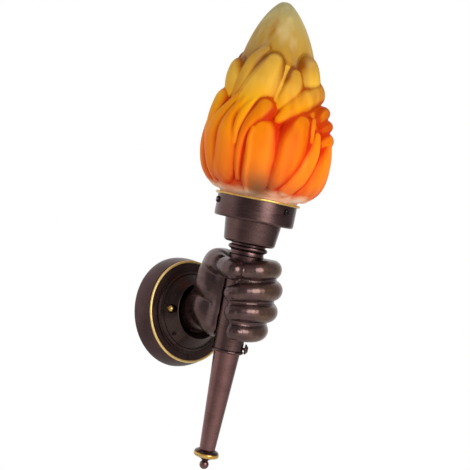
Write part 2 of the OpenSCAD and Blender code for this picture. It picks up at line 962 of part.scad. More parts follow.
module neck_ring() {
    bead_s = neck_h - 4.4;
    color(bronze)
    on_torch(neck_start)
    difference() {
        turned(concat(
            [[0, 0], [grip_r_top, 0], [grip_r_top + 0.6, 1.2], [grip_r_top - 0.2, 3], [grip_r_top - 0.4, bead_s - 3.4]],
            [[grip_r_top + 0.4, bead_s - 2.6]],
            arc([neck_bead_r - 2.2, bead_s], 2.2, -80, 90, 6),
            [[grip_r_top + 0.4, bead_s + 2.6], [grip_r_top + 0.4, neck_h], [0, neck_h]]
        ));
        translate([0, 0, -over])
        cylinder(h = neck_h + 2 * over, r = nipple_r + fit_gap);
    }
}

module neck_nipple() {
    color(steel)
    on_torch(neck_nipple_start)
    difference() {
        cylinder(h = neck_nipple_end - neck_nipple_start, r = nipple_r);
        translate([0, 0, -over])
        cylinder(h = neck_nipple_end - neck_nipple_start + 2 * over, d = nipple_bore);
    }
}

module neck_nut_lower() {
    color(brass)
    on_torch(grip_top - grip_plate - m10_t)
    hex_nut(m10_af, m10_t, nipple_r + thread_gap);
}

module neck_nut_upper() {
    color(brass)
    on_torch(cup_floor + cup_floor_t)
    hex_nut(m10_af, m10_t, nipple_r + thread_gap);
}

module lamp_cup() {
    inner_low = cup_r_low - cup_wall;
    inner_top = cup_r_top - cup_wall;
    color(bronze)
    on_torch(cup_floor)
    difference() {
        turned(concat(
            [[0, 0]],
            arc([cup_r_low - cup_corner, cup_corner], cup_corner, -90, 0),
            [[cup_r_top, cup_h], [inner_top, cup_h], [inner_low, cup_corner]],
            arc([inner_low - cup_corner + cup_floor_t, cup_corner], cup_corner - cup_floor_t, -15, -90, 5),
            [[0, cup_floor_t]]
        ));
        translate([0, 0, -over])
        cylinder(h = cup_floor_t + 2 * over, r = nipple_r + fit_gap);
    }
}

module gallery() {
    inner = gallery_r - cup_wall;
    color(bronze)
    on_torch(gallery_floor)
    difference() {
        turned(concat(
            [[holder_r + part_gap, 0]],
            arc([gallery_r - gallery_corner, gallery_corner], gallery_corner, -90, 0, 5),
            [[gallery_r, gallery_h], [inner, gallery_h], [inner, gallery_floor_t + 1]],
            [[inner - 1, gallery_floor_t], [holder_r + part_gap, gallery_floor_t]]
        ));
        for (i = [0:screw_count - 1])
            rotate([0, 0, screw_azimuth + i * 360 / screw_count])
            translate([inner - 2, 0, screw_up])
            rotate([0, 90, 0])
            cylinder(h = 6, r = screw_d / 2 + thread_gap, $fn = hardware_fn);
    }
}

module gallery_rim() {
    inner = gallery_r - cup_wall / 2;
    color(gilt)
    on_torch(gallery_top)
    turned(concat(
        [[inner, 0]],
        arc([rim_r - rim_t / 2, rim_t / 2], rim_t / 2, -90, 90, 8),
        [[inner, rim_t]]
    ));
}

module shade_screw(i) {
    tip = glass_neck_r + part_gap;
    head_at = gallery_r + part_gap;
    head_r = 3.3;
    color(steel)
    around_torch(screw_at, screw_azimuth + i * 360 / screw_count)
    rotate([0, 90, 0]) {
        translate([0, 0, tip])
        cylinder(h = head_at - tip, d = screw_d, $fn = hardware_fn);
        difference() {
            translate([0, 0, head_at])
            turned(concat([[0, 0], [head_r, 0]], arc([head_r - 1.4, 0.6], 1.4, 0, 90, 5), [[0, 2]]));
            translate([-0.45, -4, head_at + 1.1])
            cube([0.9, 8, 2]);
        }
    }
}

module shade_screw_1() {
    shade_screw(0);
}

module shade_screw_2() {
    shade_screw(1);
}

module shade_screw_3() {
    shade_screw(2);
}

module shade_gasket() {
    outer = gallery_r - cup_wall - 1.2;
    color([0.55, 0.42, 0.30])
    on_torch(ring_at)
    difference() {
        cylinder(h = gasket_t, r = outer);
        translate([0, 0, -over])
        cylinder(h = gasket_t + 2 * over, r = glass_neck_r - gasket_in);
    }
}

// ---- Lampholder ----

module holder_cap() {
    cap_h = holder_join - holder_base;
    inner = holder_r - holder_wall;
    ledge = inner - 1.6;
    color(cream)
    on_torch(holder_base)
    turned(concat(
        [[nipple_r + fit_gap, 0], [nipple_r + 4, 0]],
        arc([holder_r - 6, 6], 6, -75, 0, 5),
        [[holder_r, cap_h], [inner + 0.1, cap_h], [inner + 0.1, cap_h - holder_seat], [ledge, cap_h - holder_seat]],
        [[ledge, 7]],
        arc([ledge - 4.2, 6.2], 4.2, 0, -75, 4),
        [[nipple_r + fit_gap, 2]]
    ));
}

module holder_body() {
    inner = holder_r - holder_wall;
    color(cream)
    on_torch(holder_join)
    difference() {
        cylinder(h = holder_top - holder_join, r = holder_r);
        translate([0, 0, -over])
        cylinder(h = holder_top - holder_join + 2 * over, r = inner);
    }
}

module holder_ring() {
    color(cream)
    on_torch(ring_at)
    difference() {
        union() {
            cylinder(h = ring_t / 2, r = ring_r);
            translate([0, 0, ring_t / 2])
            cylinder(h = ring_t / 2, r1 = ring_r - 1, r2 = holder_r + 2.2);
        }
        translate([0, 0, -over])
        cylinder(h = ring_t + 2 * over, r = holder_r + thread_gap);
    }
}

module holder_insert() {
    color("white")
    on_torch(insert_top - insert_t)
    cylinder(h = insert_t, r = holder_r - holder_wall - 0.2);
}

module screw_shell() {
    color(brass)
    on_torch(insert_top)
    difference() {
        cylinder(h = shell_len, r = shell_r);
        translate([0, 0, -over])
        cylinder(h = shell_len + 2 * over, r = shell_r - shell_wall);
    }
}

module centre_contact() {
    color(brass)
    on_torch(insert_top)
    cylinder(h = contact_t, r = contact_r, $fn = hardware_fn);
}

// ---- Bulb ----

module bulb_contact() {
    color(steel)
    on_torch(tip_at)
    cylinder(h = tip_t, r1 = 3, r2 = 4.6, $fn = hardware_fn);
}

module bulb_insulator() {
    color([0.12, 0.12, 0.12])
    on_torch(tip_at + tip_t)
    cylinder(h = insulator_t, r1 = 5, r2 = bulb_cap_r - 2.4, $fn = hardware_fn);
}

// Wavy outline of the cap's rolled thread
function cap_wave(depth, steps = 36) = [
    for (i = [0:steps])
        let (h = bulb_cap_len * i / steps)
        [bulb_cap_r - depth + bulb_thread / 2 * (cos(360 * h / bulb_cap_pitch) - 1), h]
];

module bulb_cap() {
    outer = cap_wave(0);
    inner = cap_wave(bulb_cap_wall);
    color(steel)
    on_torch(bulb_cap_start)
    turned(concat([[6, 0]], outer, [for (i = [len(inner) - 1:-1:1]) inner[i]], [[6, 0.5]]));
}

// Outline of the bulb's glass, drawn in by its wall
function bulb_curve(inset) =
    let (
        neck = bulb_neck_r - inset,
        belly = bulb_r - inset,
        low = bulb_cap_end - 5,
        throat = bulb_cap_end + 1,
        join = -34,
        from = [neck, throat],
        to = [belly * cos(join), bulb_mid + belly * sin(join)],
        lift = (to.y - from.y) / 2
    )
    concat(
        [[neck, low], from],
        [for (i = [1:7]) let (t = i / 8)
            pow(1 - t, 3) * from
            + 3 * t * pow(1 - t, 2) * (from + [0, lift])
            + 3 * t * t * (1 - t) * (to - lift * 0.8 * [-sin(join), cos(join)])
            + pow(t, 3) * to],
        arc([0, bulb_mid], belly, join, 90, 12)
    );

module bulb_glass() {
    outer = bulb_curve(0);
    inner = bulb_curve(bulb_wall);
    color([0.95, 0.95, 0.92])
    on_torch()
    turned(concat(outer, [for (i = [len(inner) - 1:-1:0]) inner[i]]));
}

module bulb_stem() {
    color([0.9, 0.95, 0.95])
    on_torch(stem_base)
    turned([[0, 0], [bulb_neck_r - bulb_wall - 0.3, 0], [6, 6], [3, 14], [1.6, stem_h], [0, stem_h]]);
}

module bulb_filament() {
    leg_h = 12;
    color([0.9, 0.75, 0.4])
    on_torch(stem_base + stem_h + filament_d / 2) {
        translate([-filament_r, 0, 0])
        rotate([0, 90, 0])
        cylinder(h = 2 * filament_r, d = filament_d, $fn = 24);
        for (side = [-1, 1])
            translate([side * filament_r, 0, 0])
            cylinder(h = leg_h, d = filament_d, $fn = 24);
        translate([0, 0, leg_h])
        rotate_extrude($fn = hardware_fn)
        translate([filament_r, 0])
        circle(d = filament_d * 1.5, $fn = 24);
    }
}

// ---- Flame glass: one closed skin, an outer face with folds and a smooth inner face ----

glass_sides = 54;
glass_clear = 1.2;
neck_top = gallery_top + rim_t + glass_clear;
flame_top = neck_top + flame_h;
outer_rings = 30;
inner_rings = 14;
inner_tip = 0.9;
function ease(t) = t * t * (3 - 2 * t);
// Radius of the plain flame at a share t of its height: it swells from the neck and draws in to the tip
belly_at = 0.2;
function flame_radius(t) = t < belly_at
    ? glass_neck_r + 2 + (flame_r - glass_neck_r - 2) * sin(90 * pow(t / belly_at, 0.75))
    : flame_r * pow(cos(90 * (t - belly_at) / (1 - belly_at)), 0.9);
// How far the flame's middle hangs back at a share t of its height
function flame_lean(t) = flame_back * pow(t, 1.5);
// How far the folds cut in, none at the neck and at the tip
function fold(t, angle) =
    let (
        amount = fold_depth * ease(min(1, t / 0.12)) * ease(min(1, (1 - t) / 0.15)),
        row = t < 0.5 ? 0 : 180,
        lobe = abs(cos(petals / 2 * (angle + 70 * t * t) + row / 2))
    )
    1 - amount * (1 - pow(lobe, 0.7));
function flame_ring(s, r, t, inside) = [
    for (j = [0:glass_sides - 1])
        let (
            a = 360 * j / glass_sides,
            k = inside ? 1 - fold_depth * ease(min(1, t / 0.12)) : fold(t, a)
        )
        [r * k * cos(a), r * k * sin(a) + flame_lean(t), s]
];
neck_rings = [
    for (s = [glass_base, neck_top - 2])
        flame_ring(s, glass_neck_r, 0, false)
];
outer_skin = [
    for (i = [0:outer_rings - 1])
        let (t = 1 - pow(1 - i / outer_rings, 1.25))
        flame_ring(neck_top + flame_h * t, flame_radius(t), t, false)
];
inner_skin = [
    for (i = [inner_rings - 1:-1:0])
        let (t = inner_tip * i / inner_rings)
        flame_ring(neck_top + flame_h * t + 1, flame_radius(t) - glass_wall, t, true)
];
neck_bore = [
    for (s = [neck_top - 2, glass_base])
        flame_ring(s, glass_neck_r - glass_wall, 0, false)
];

// Closed skin over a stack of rings with a point at the turn from outer face to inner face
module skin(outer, inner, outer_tip, inner_tip) {
    n = glass_sides;
    a = len(outer);
    b = len(inner);
    rings = concat(outer, inner);
    points = concat([for (ring = rings) each ring], [outer_tip, inner_tip]);
    tip_a = (a + b) * n;
    tip_b = tip_a + 1;
    function band(i, k) = [
        for (j = [0:n - 1])
            let (j2 = (j + 1) % n)
            each [[i * n + j, k * n + j, k * n + j2], [i * n + j, k * n + j2, i * n + j2]]
    ];
    faces = concat(
        [for (i = [0:a - 2]) each band(i, i + 1)],
        [for (j = [0:n - 1]) [(a - 1) * n + j, tip_a, (a - 1) * n + (j + 1) % n]],
        [for (j = [0:n - 1]) [a * n + j, a * n + (j + 1) % n, tip_b]],
        [for (i = [a:a + b - 2]) each band(i, i + 1)],
        band(a + b - 1, 0)
    );
    polyhedron(points = points, faces = faces);
}

module shade_glass() {
    color(flame_orange)
    on_torch()
    skin(
        concat(neck_rings, outer_skin),
        concat(inner_skin, neck_bore),
        [0, flame_lean(1), flame_top],
        [0, flame_lean(inner_tip), neck_top + flame_h * inner_tip]
    );
}

wall_crossbar();
mounting_studs();
stud_lock_nuts();
dome_nuts();
earth_screw();
earth_tag();
canopy_drum();
canopy_ring();
canopy_boss();
boss_screw();
wrist_nipple();
wrist_nut();
wrist_washer();
terminal_block();
terminal_screws();
live_wire();
neutral_wire();
earth_wire();
hand_casting();
grip_tube();
shaft_collar();
collar_screw();
taper_shaft();
finial_dish();
finial_band();
finial_stud();
finial_ball();
neck_ring();
neck_nipple();
neck_nut_lower();
neck_nut_upper();
lamp_cup();
gallery();
gallery_rim();
shade_screw_1();
shade_screw_2();
shade_screw_3();
shade_gasket();
holder_cap();
holder_body();
holder_ring();
holder_insert();
screw_shell();
centre_contact();
bulb_glass();
bulb_cap();
bulb_insulator();
bulb_contact();
bulb_stem();
bulb_filament();
shade_glass();
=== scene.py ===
"""The looks of the torch sconce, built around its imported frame.

Lengths in tables are in millimetres, and MM turns them into Blender's metres. "Torch coordinates" are (side, back, up):
side is world X, up runs along the leaning torch, back points to the wall, and zero is level with the wrist. "Turned
coordinates" are (right, toward, up): the same ones turned about the torch until toward points at the camera.
"""

import json
import math

import bpy
import numpy as np
from mathutils import Matrix, Vector


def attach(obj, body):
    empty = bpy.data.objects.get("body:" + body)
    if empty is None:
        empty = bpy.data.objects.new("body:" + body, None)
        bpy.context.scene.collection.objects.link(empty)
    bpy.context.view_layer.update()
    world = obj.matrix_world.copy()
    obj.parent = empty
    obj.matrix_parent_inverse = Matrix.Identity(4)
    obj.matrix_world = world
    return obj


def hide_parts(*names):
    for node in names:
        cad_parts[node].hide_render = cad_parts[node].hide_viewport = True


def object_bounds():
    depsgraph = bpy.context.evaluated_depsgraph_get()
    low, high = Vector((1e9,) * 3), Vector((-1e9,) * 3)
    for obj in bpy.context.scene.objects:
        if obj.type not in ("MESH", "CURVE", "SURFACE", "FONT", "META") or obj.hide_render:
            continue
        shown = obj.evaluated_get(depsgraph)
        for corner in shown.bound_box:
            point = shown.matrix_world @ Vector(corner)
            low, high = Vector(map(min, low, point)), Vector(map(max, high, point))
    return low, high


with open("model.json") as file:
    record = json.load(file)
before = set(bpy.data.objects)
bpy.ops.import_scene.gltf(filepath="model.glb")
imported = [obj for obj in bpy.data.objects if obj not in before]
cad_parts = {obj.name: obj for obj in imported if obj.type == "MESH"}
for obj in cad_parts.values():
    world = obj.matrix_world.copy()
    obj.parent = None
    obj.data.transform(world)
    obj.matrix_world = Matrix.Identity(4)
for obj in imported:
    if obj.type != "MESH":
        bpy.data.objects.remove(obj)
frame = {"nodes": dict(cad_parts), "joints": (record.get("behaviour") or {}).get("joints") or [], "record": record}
CAD_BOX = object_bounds()

MM = 0.001
JOINTS = {joint["name"]: joint for joint in frame["joints"]}
TORCH_UP = np.array(JOINTS["shade_lift"]["axis"], float)
TORCH_SIDE = np.array([1.0, 0.0, 0.0])
TORCH_BACK = np.cross(TORCH_UP, TORCH_SIDE)
ON_AXIS = np.array(JOINTS["bulb_unscrew"]["pos_m"], float)
TORCH_ZERO = ON_AXIS - TORCH_UP * ON_AXIS[2] / TORCH_UP[2]
TORCH_LEAN = math.atan2(-TORCH_UP[1], TORCH_UP[2])


# ---------------------------------------------------------------- camera, stage and lights

CAMERA_PLACE = (-750.46, -933.05, -78.90)
CAMERA_AIM = (38.41, -44.39, 88.31)
CAMERA_ROLL = 3.23
CAMERA_LENS = 82.6
SENSOR = 36.0

STUDIO_WHITE = (1.0, 1.0, 1.0, 1.0)
# the room's brightness in front of the wall's plane and behind it
ROOM_FRONT = 0.24
ROOM_BACK = 0.95
ROOM_TURN = (-0.1, 0.5)

FLOOR_DROP = 250.0
FLOOR_RADIUS = 2600.0
# the share of the radius that doesn't fade
FLOOR_SOLID = 0.25
FLOOR_RINGS = 24
FLOOR_SIDES = 96

# name: azimuth and elevation it shines from, distance, width, height, power in watts, colour
SOFTBOXES = {
    "key_softbox": (-8, 8, 1500, 1180, 1080, 18.5, (1.0, 0.985, 0.965)),
}
LIGHTS_AIM = (0.0, -90.0, 90.0)


def around(azimuth, elevation, distance):
    """The point at that distance, in metres, seen from that azimuth (0 is in front) and elevation."""
    a, e = math.radians(azimuth), math.radians(elevation)
    return Vector((math.sin(a) * math.cos(e), -math.cos(a) * math.cos(e), math.sin(e))) * distance


def make_camera():
    """The camera solved from the photo's circles."""
    data = bpy.data.cameras.new("camera")
    data.sensor_width = SENSOR
    data.lens = CAMERA_LENS
    camera = bpy.data.objects.new("camera", data)
    bpy.context.scene.collection.objects.link(camera)
    place, aim = Vector(CAMERA_PLACE) * MM, Vector(CAMERA_AIM) * MM
    level = (aim - place).to_track_quat("-Z", "Y").to_matrix()
    roll = Matrix.Rotation(math.radians(CAMERA_ROLL), 3, "Z")
    camera.matrix_world = Matrix.Translation(place) @ (level @ roll).to_4x4()
    bpy.context.scene.camera = camera


def make_world():
    """White where the camera looks past the part, and otherwise a room that is dim in front and bright behind."""
    world = bpy.data.worlds.new("studio")
    bpy.context.scene.world = world
    world.use_nodes = True
    tree = world.node_tree
    tree.nodes.clear()
    way = node(tree, "SeparateXYZ", {0: node(tree, "TexCoord").outputs["Generated"]}).outputs["Y"]
    span = {"Value": way, "From Min": ROOM_TURN[0], "From Max": ROOM_TURN[1], "To Min": ROOM_FRONT, "To Max": ROOM_BACK}
    bright = node(tree, "MapRange", span, interpolation_type="SMOOTHSTEP").outputs[0]
    seen = node(tree, "Background", {"Color": STUDIO_WHITE, "Strength": 1.0})
    room = node(tree, "Background", {"Color": STUDIO_WHITE, "Strength": bright})
    ray = node(tree, "LightPath")
    mixed = node(tree, "MixShader", {0: ray.outputs["Is Camera Ray"], 1: room.outputs[0], 2: seen.outputs[0]})
    node(tree, "OutputWorld", {"Surface": mixed.outputs[0]})


def make_lights():
    """Round softboxes that face the part."""
    aim = Vector(LIGHTS_AIM) * MM
    for name, (azimuth, elevation, distance, width, height, power, colour) in SOFTBOXES.items():
        data = bpy.data.lights.new(name, "AREA")
        data.shape = "ELLIPSE"
        data.size, data.size_y = width * MM, height * MM
        data.energy, data.color = power, colour
        lamp = bpy.data.objects.new(name, data)
        bpy.context.scene.collection.objects.link(lamp)
        lamp.location = aim + around(azimuth, elevation, distance * MM)
        lamp.rotation_euler = (aim - lamp.location).to_track_quat("-Z", "Y").to_euler()


def make_floor():
    """A pale round floor well below the sconce, which fades out at its rim."""
    ring = np.arange(FLOOR_SIDES) * 2 * math.pi / FLOOR_SIDES
    radii = np.linspace(0, 1, FLOOR_RINGS + 1)[1:] * FLOOR_RADIUS * MM
    low = CAD_BOX[0].z - FLOOR_DROP * MM
    points = [(0, 0, low)] + [(r * math.cos(a), r * math.sin(a), low) for r in radii for a in ring]
    faces = [(0, 1 + i, 1 + (i + 1) % FLOOR_SIDES) for i in range(FLOOR_SIDES)]
    for k in range(FLOOR_RINGS - 1):
        a, b = 1 + k * FLOOR_SIDES, 1 + (k + 1) * FLOOR_SIDES
        faces += [(a + i, b + i, b + (i + 1) % FLOOR_SIDES, a + (i + 1) % FLOOR_SIDES) for i in range(FLOOR_SIDES)]
    floor = make_piece("floor", points, faces)
    material = bpy.data.materials.new("pale_floor")
    material.use_nodes = True
    tree = material.node_tree
    shader = tree.nodes["Principled BSDF"]
    shader.inputs["Roughness"].default_value = 0.9
    spot = node(tree, "TexCoord")
    grain = noise(tree, spot.outputs["Object"], 60, 4)
    colour = ramp(tree, grain, [(0.3, (236, 236, 234)), (0.7, (242, 242, 240))])
    tree.links.new(colour, shader.inputs["Base Color"])
    away = node(tree, "VectorMath", {0: spot.outputs["Object"]}, operation="LENGTH").outputs["Value"]
    edge = FLOOR_RADIUS * MM
    span = {"Value": away, "From Min": FLOOR_SOLID * edge, "From Max": edge, "To Min": 1.0, "To Max": 0.0}
    fade = node(tree, "MapRange", span, interpolation_type="SMOOTHSTEP")
    tree.links.new(fade.outputs[0], shader.inputs["Alpha"])
    floor.data.materials.append(material)


# ---------------------------------------------------------------- small tools

def node(tree, kind, inputs=None, **settings):
    """Adds a shader node, sets its settings, and links or sets its inputs."""
    made = tree.nodes.new("ShaderNode" + kind)
    for name, value in settings.items():
        setattr(made, name, value)
    for name, value in (inputs or {}).items():
        if isinstance(value, bpy.types.NodeSocket):
            tree.links.new(value, made.inputs[name])
        else:
            made.inputs[name].default_value = value
    return made


def linear(colour):
    """An 8-bit screen colour as Blender's linear colour."""
    share = np.array(colour, float) / 255
    light = np.where(share <= 0.04045, share / 12.92, ((share + 0.055) / 1.055) ** 2.4)
    return (*light.tolist(), 1.0)


def noise(tree, where, scale, detail=3.0):
    """Cloudy noise from 0 to 1, with that many features to the metre."""
    sockets = {"Vector": where, "Scale": scale, "Detail": detail}
    return node(tree, "TexNoise", sockets).outputs["Fac"]


def ramp(tree, factor, stops):
    """A colour ramp whose stops are (place, screen colour)."""
    made = node(tree, "ValToRGB", {"Fac": factor})
    band = made.color_ramp
    while len(band.elements) < len(stops):
        band.elements.new(0.5)
    for element, (place, colour) in zip(band.elements, stops):
        element.position = place
        element.color = linear(colour)
    return made.outputs["Color"]


def mix(tree, factor, a, b, how="MIX"):
    """Mixes two colours, each a socket or a screen colour."""
    made = node(tree, "Mix", {"Factor": factor}, data_type="RGBA", blend_type=how)
    for socket, value in ((made.inputs[6], a), (made.inputs[7], b)):
        if isinstance(value, bpy.types.NodeSocket):
            tree.links.new(value, socket)
        else:
            socket.default_value = linear(value)
    return made.outputs[2]


def spread(tree, value, low, high, to_low=0.0, to_high=1.0):
    """Maps a value from one range to another, clamped."""
    sockets = {"Value": value, "From Min": low, "From Max": high, "To Min": to_low, "To Max": to_high}
    return node(tree, "MapRange", sockets).outputs[0]


def maths(tree, how, a, b=0.0, clamp=False):
    """One sum of two sockets or numbers."""
    return node(tree, "Math", {0: a, 1: b}, operation=how, use_clamp=clamp).outputs[0]


def make_piece(name, points, faces, attributes=None):
    """A smooth-shaded mesh object from points in metres."""
    mesh = bpy.data.meshes.new(name)
    mesh.from_pydata([tuple(p) for p in points], [], [tuple(f) for f in faces])
    mesh.polygons.foreach_set("use_smooth", [True] * len(mesh.polygons))
    for key, values in (attributes or {}).items():
        mesh.attributes.new(key, "FLOAT", "POINT").data.foreach_set("value", np.asarray(values, np.float32).ravel())
    mesh.update()
    piece = bpy.data.objects.new(name, mesh)
    bpy.context.scene.collection.objects.link(piece)
    return piece


def torch_to_world(points):
    """Points in torch coordinates and millimetres, as world points in metres."""
    return TORCH_ZERO + MM * (points @ np.array([TORCH_SIDE, TORCH_BACK, TORCH_UP]))


def flow(points, count):
    """That many points along the smooth curve through the given ones. The first two numbers of each are its place."""
    points = np.array(points, float)
    reach = np.r_[0, np.cumsum(np.linalg.norm(np.diff(points[:, :2], axis=0), axis=1))]
    slope = np.gradient(points, reach, axis=0)
    at = np.linspace(0, reach[-1], count)
    i = np.clip(np.searchsorted(reach, at, "right") - 1, 0, len(reach) - 2)
    gap = (reach[i + 1] - reach[i])[:, None]
    u = (at - reach[i])[:, None] / gap
    start = points[i] * (1 + 2 * u) * (1 - u) ** 2 + slope[i] * gap * u * (1 - u) ** 2
    return start + points[i + 1] * u * u * (3 - 2 * u) + slope[i + 1] * gap * u * u * (u - 1)


def step(low, high, value):
    """A smooth step from 0 at low to 1 at high."""
    u = np.clip((value - low) / (high - low), 0, 1)
    return u * u * (3 - 2 * u)


# ---------------------------------------------------------------- the flame glass

GLASS_FOOT = 97.8
NECK_TOP = 120.9
FLAME_TOP = 326.9
FLAME_BACK = 18.0
GLASS_WALL = 3.2
FACING = 231.3
BACK_TURN = 186.0
# painted glow: the flame's paint colour given off as light at this strength, standing in for the light that the glass
# lets through from behind
PAINTED_GLOW = 0.1
COLUMNS = 440
ROWS = 195
INNER_ROWS = 24
WIDEN = 1.12
SOFT_JOIN = 0.7
DOME = 0.46
# the heights between which the tongues rise out of the neck, and how the flame's lean grows
TONGUE_START = (119, 127)
LEAN_CURVE = 1.5
# how far up the inner wall goes, and how far back its top leans, as shares
INNER_TOP = 0.97
INNER_LEAN = 0.95
TONGUE_STEPS = 26
# degrees beside a tongue's path that are searched
TONGUE_REACH = 34
CAVITY_BLUR = 10

# degrees right of the middle, height and reach both ways of the smear
SMEAR = (-5, 130, 15, 15)
# the amber streak's lower and upper end and half width
STREAK = (-34, 268, -16, 302, 9)

# the paint by height (0 at the neck, 1 at the tip): on the crests, and a deeper colour that is the tongues' own at
# their tips and in redder tongues, and painted shade in the creases and along the rims
CREST = [
    (0.0, (248, 214, 190)), (0.022, (238, 170, 126)), (0.038, (226, 108, 46)), (0.1, (240, 124, 30)),
    (0.25, (250, 136, 16)), (0.36, (246, 150, 0)), (0.45, (240, 166, 10)), (0.55, (230, 176, 62)),
    (0.66, (218, 168, 54)), (0.76, (200, 164, 78)), (0.9, (186, 168, 114)), (1.0, (156, 154, 118)),
]
DEEP_PAINT_AND_SHADE = [
    (0.0, (240, 190, 160)), (0.018, (222, 120, 78)), (0.036, (206, 40, 0)), (0.2, (216, 46, 0)),
    (0.36, (196, 42, 0)), (0.46, (188, 66, 0)), (0.56, (158, 72, 0)), (0.68, (132, 70, 0)),
    (0.78, (164, 118, 26)), (0.9, (168, 142, 74)), (1.0, (146, 140, 100)),
]
AMBER_STREAK = (158, 104, 4)
GREY_SMEAR = (118, 82, 52)
# pale streaks on the upper flame: partly the glass's own streaky paint, partly painted highlight
PALE_HIGHLIGHT_STREAK = (232, 214, 160)
SPECK = (255, 226, 160)
INNER_WALL = (238, 222, 196)
# features to the metre of the brush marks, which run along the torch
BRUSH_STRETCH = (95, 95, 9)

# the glass without its tongues: (radius, height)
CORE = [
    (39.2, 97.8), (39.2, 108), (39.3, 117), (41.2, 121.2), (46.2, 125), (51.5, 130.5), (56.2, 138.5), (59.4, 149),
    (61, 160), (61, 172), (59.6, 184), (57.2, 196), (54, 208), (50.4, 220), (47, 232), (44, 244), (41.6, 254),
    (39.2, 263), (36.6, 272), (32.8, 283), (28.2, 294), (22.4, 305), (16.8, 313.5), (10.4, 321), (5.2, 325.4),
    (0, 326.9),
]

# tongues of the front, from root to tip: (degrees right of the middle, height, half width, rise over the core)
TONGUES = {
    "centre_tongue": [(-40, 198, 12, 5), (-31, 212, 16, 7), (-21.5, 228, 17, 8.3), (-15, 242, 14, 8.6),
                      (-9, 256, 9.6, 7.6)],
    "cone_strand": [(-52, 212, 3.4, 4), (-49, 224, 6, 5.5), (-45.5, 238, 8.4, 6), (-41, 252, 8.6, 5.4),
                    (-33, 262, 7, 4.4), (-24, 268.5, 5, 2.6)],
    "left_high_lobe": [(-62, 220, 8, 5), (-66.5, 229, 12, 8), (-69.5, 238, 13.4, 9.6), (-70.5, 244, 12.6, 9.4)],
    "left_low_lobe": [(-75, 168, 5, 6), (-76.5, 183, 10, 8), (-75.5, 197, 13, 9.6), (-73, 210, 13.4, 10.2)],
    "right_high_lobe": [(43, 228, 8, 4), (46, 238, 13, 6.4), (47.5, 248.5, 15.8, 7.8), (48, 256, 15.2, 7.6)],
    "inner_flame": [(-1, 208, 4, 4), (7, 218, 8.4, 6.5), (14.5, 229, 10.2, 8), (18.5, 238.5, 9.6, 8),
                    (19.5, 247, 7, 6.6)],
    "inner_strand": [(-2, 214, 3, 4.4), (2, 227, 4.4, 4.8), (6, 240, 5.4, 3.8), (8.5, 252, 5.4, 2.2)],
    "long_lobe": [(3.5, 198.5, 4.6, 5), (13, 208, 8, 7.6), (25, 218, 9.8, 9), (41, 227.5, 10.6, 9.4),
                  (62, 236, 11.2, 9)],
    "outer_bud_high": [(58, 209, 5, 4), (66, 214, 6.6, 7.4), (73, 217, 7.2, 9.6), (79, 218, 6.8, 9.6)],
    "outer_bud_mid": [(60, 198.5, 4, 4), (68, 201.5, 6, 7.5), (75, 204, 6.6, 10.4), (82, 205, 6.6, 10.2)],
    "outer_bud_low": [(59, 185, 4.5, 4), (66, 188, 6.4, 7.5), (73, 190.5, 7.2, 9.4), (82, 191, 7.6, 9.8)],
    "far_strand": [(-66, 131, 3, 3), (-62.5, 142, 8.6, 6.6), (-63.5, 156, 11, 7.9), (-67, 170, 12.2, 8.1),
                   (-64.5, 184, 10.6, 8.1), (-54, 199, 7.8, 7.7), (-43, 214, 5.6, 7), (-33, 228, 3.6, 6.4)],
    "swept_strand": [(-52, 130.5, 4, 3), (-47.5, 140, 12, 7), (-43, 154, 13.6, 8), (-43.5, 169, 13, 8.3),
                     (-45.5, 182, 10.8, 8.3), (-43.5, 194, 7, 8.1), (-37.5, 206, 5, 7.7), (-29, 219, 3.6, 7)],
    "crescent": [(-32.5, 168, 1.8, 6), (-33.5, 181, 3.6, 8), (-31.5, 193.5, 5, 8.8), (-26, 206, 4.2, 8.6),
                 (-22.3, 212.5, 2.6, 8)],
    "red_hook": [(-28, 136, 2.6, 5), (-28, 150, 3.4, 6.4), (-27.5, 166, 4, 7.2), (-25.5, 180, 4.8, 8.2),
                 (-20.5, 192, 6.8, 9.4), (-13.5, 202, 9.4, 10.4), (-10.5, 207.5, 10.2, 10.8)],
    "broad_petal": [(-13, 125, 6, 3), (-10.5, 137, 12.4, 7), (-9.5, 153, 14.6, 8), (-9, 170, 15, 8.5),
                    (-8.5, 183.5, 13.6, 8.6)],
    "broad_petal_rib": [(-18.3, 125, 2, 5), (-18.8, 140, 3.2, 8.4), (-17.8, 160, 3.6, 9.2), (-18.8, 175, 3.6, 9),
                        (-17.5, 184, 3, 8.6)],
    "right_petal": [(8, 131, 3, 3), (10.5, 140, 7.4, 7), (13.5, 150, 10.6, 8.2), (17.5, 164, 13.8, 8.6),
                    (20.5, 179, 15.6, 8.8), (25, 193, 13.4, 8.6), (28, 199.5, 10.4, 8)],
    "bud": [(38.5, 184, 2.6, 5), (39.5, 195, 3.6, 7.8), (40.5, 204, 4, 8.6)],
    "right_strand": [(27, 133, 8.4, 3), (33, 146, 9.6, 6.6), (39, 161, 9, 7.6), (44, 176, 8, 7.8),
                     (47, 190, 6.4, 7)],
    "outer_petal": [(53, 124, 9, 3), (57, 136, 14, 6.5), (62, 149, 16.4, 8), (67, 163, 16.6, 8.5),
                    (71, 175, 14.4, 8.4), (74, 183, 11.4, 8)],
    "side_petal_left": [(-80, 127, 6, 3), (-81.5, 141, 9, 7), (-84, 156, 10.4, 8), (-86, 170, 10.4, 8),
                        (-85, 184, 8.4, 7.6)],
}
FRONT_ONLY = ("outer_bud_high", "outer_bud_mid", "outer_bud_low")
# petals between the front set and the back set
SIDE_TONGUES = {
    "far_petal_left": [(-100, 127, 6, 3), (-101, 141, 9, 7), (-103, 158, 10, 8), (-104, 176, 8.6, 7.6)],
    "far_petal_right": [(92, 127, 6, 3), (93, 141, 9, 7), (94, 158, 10, 8), (94, 174, 9, 7.8)],
    "back_lobe_right": [(96, 178, 5, 5), (97, 190, 8, 7.6), (98, 202, 8.4, 8)],
}
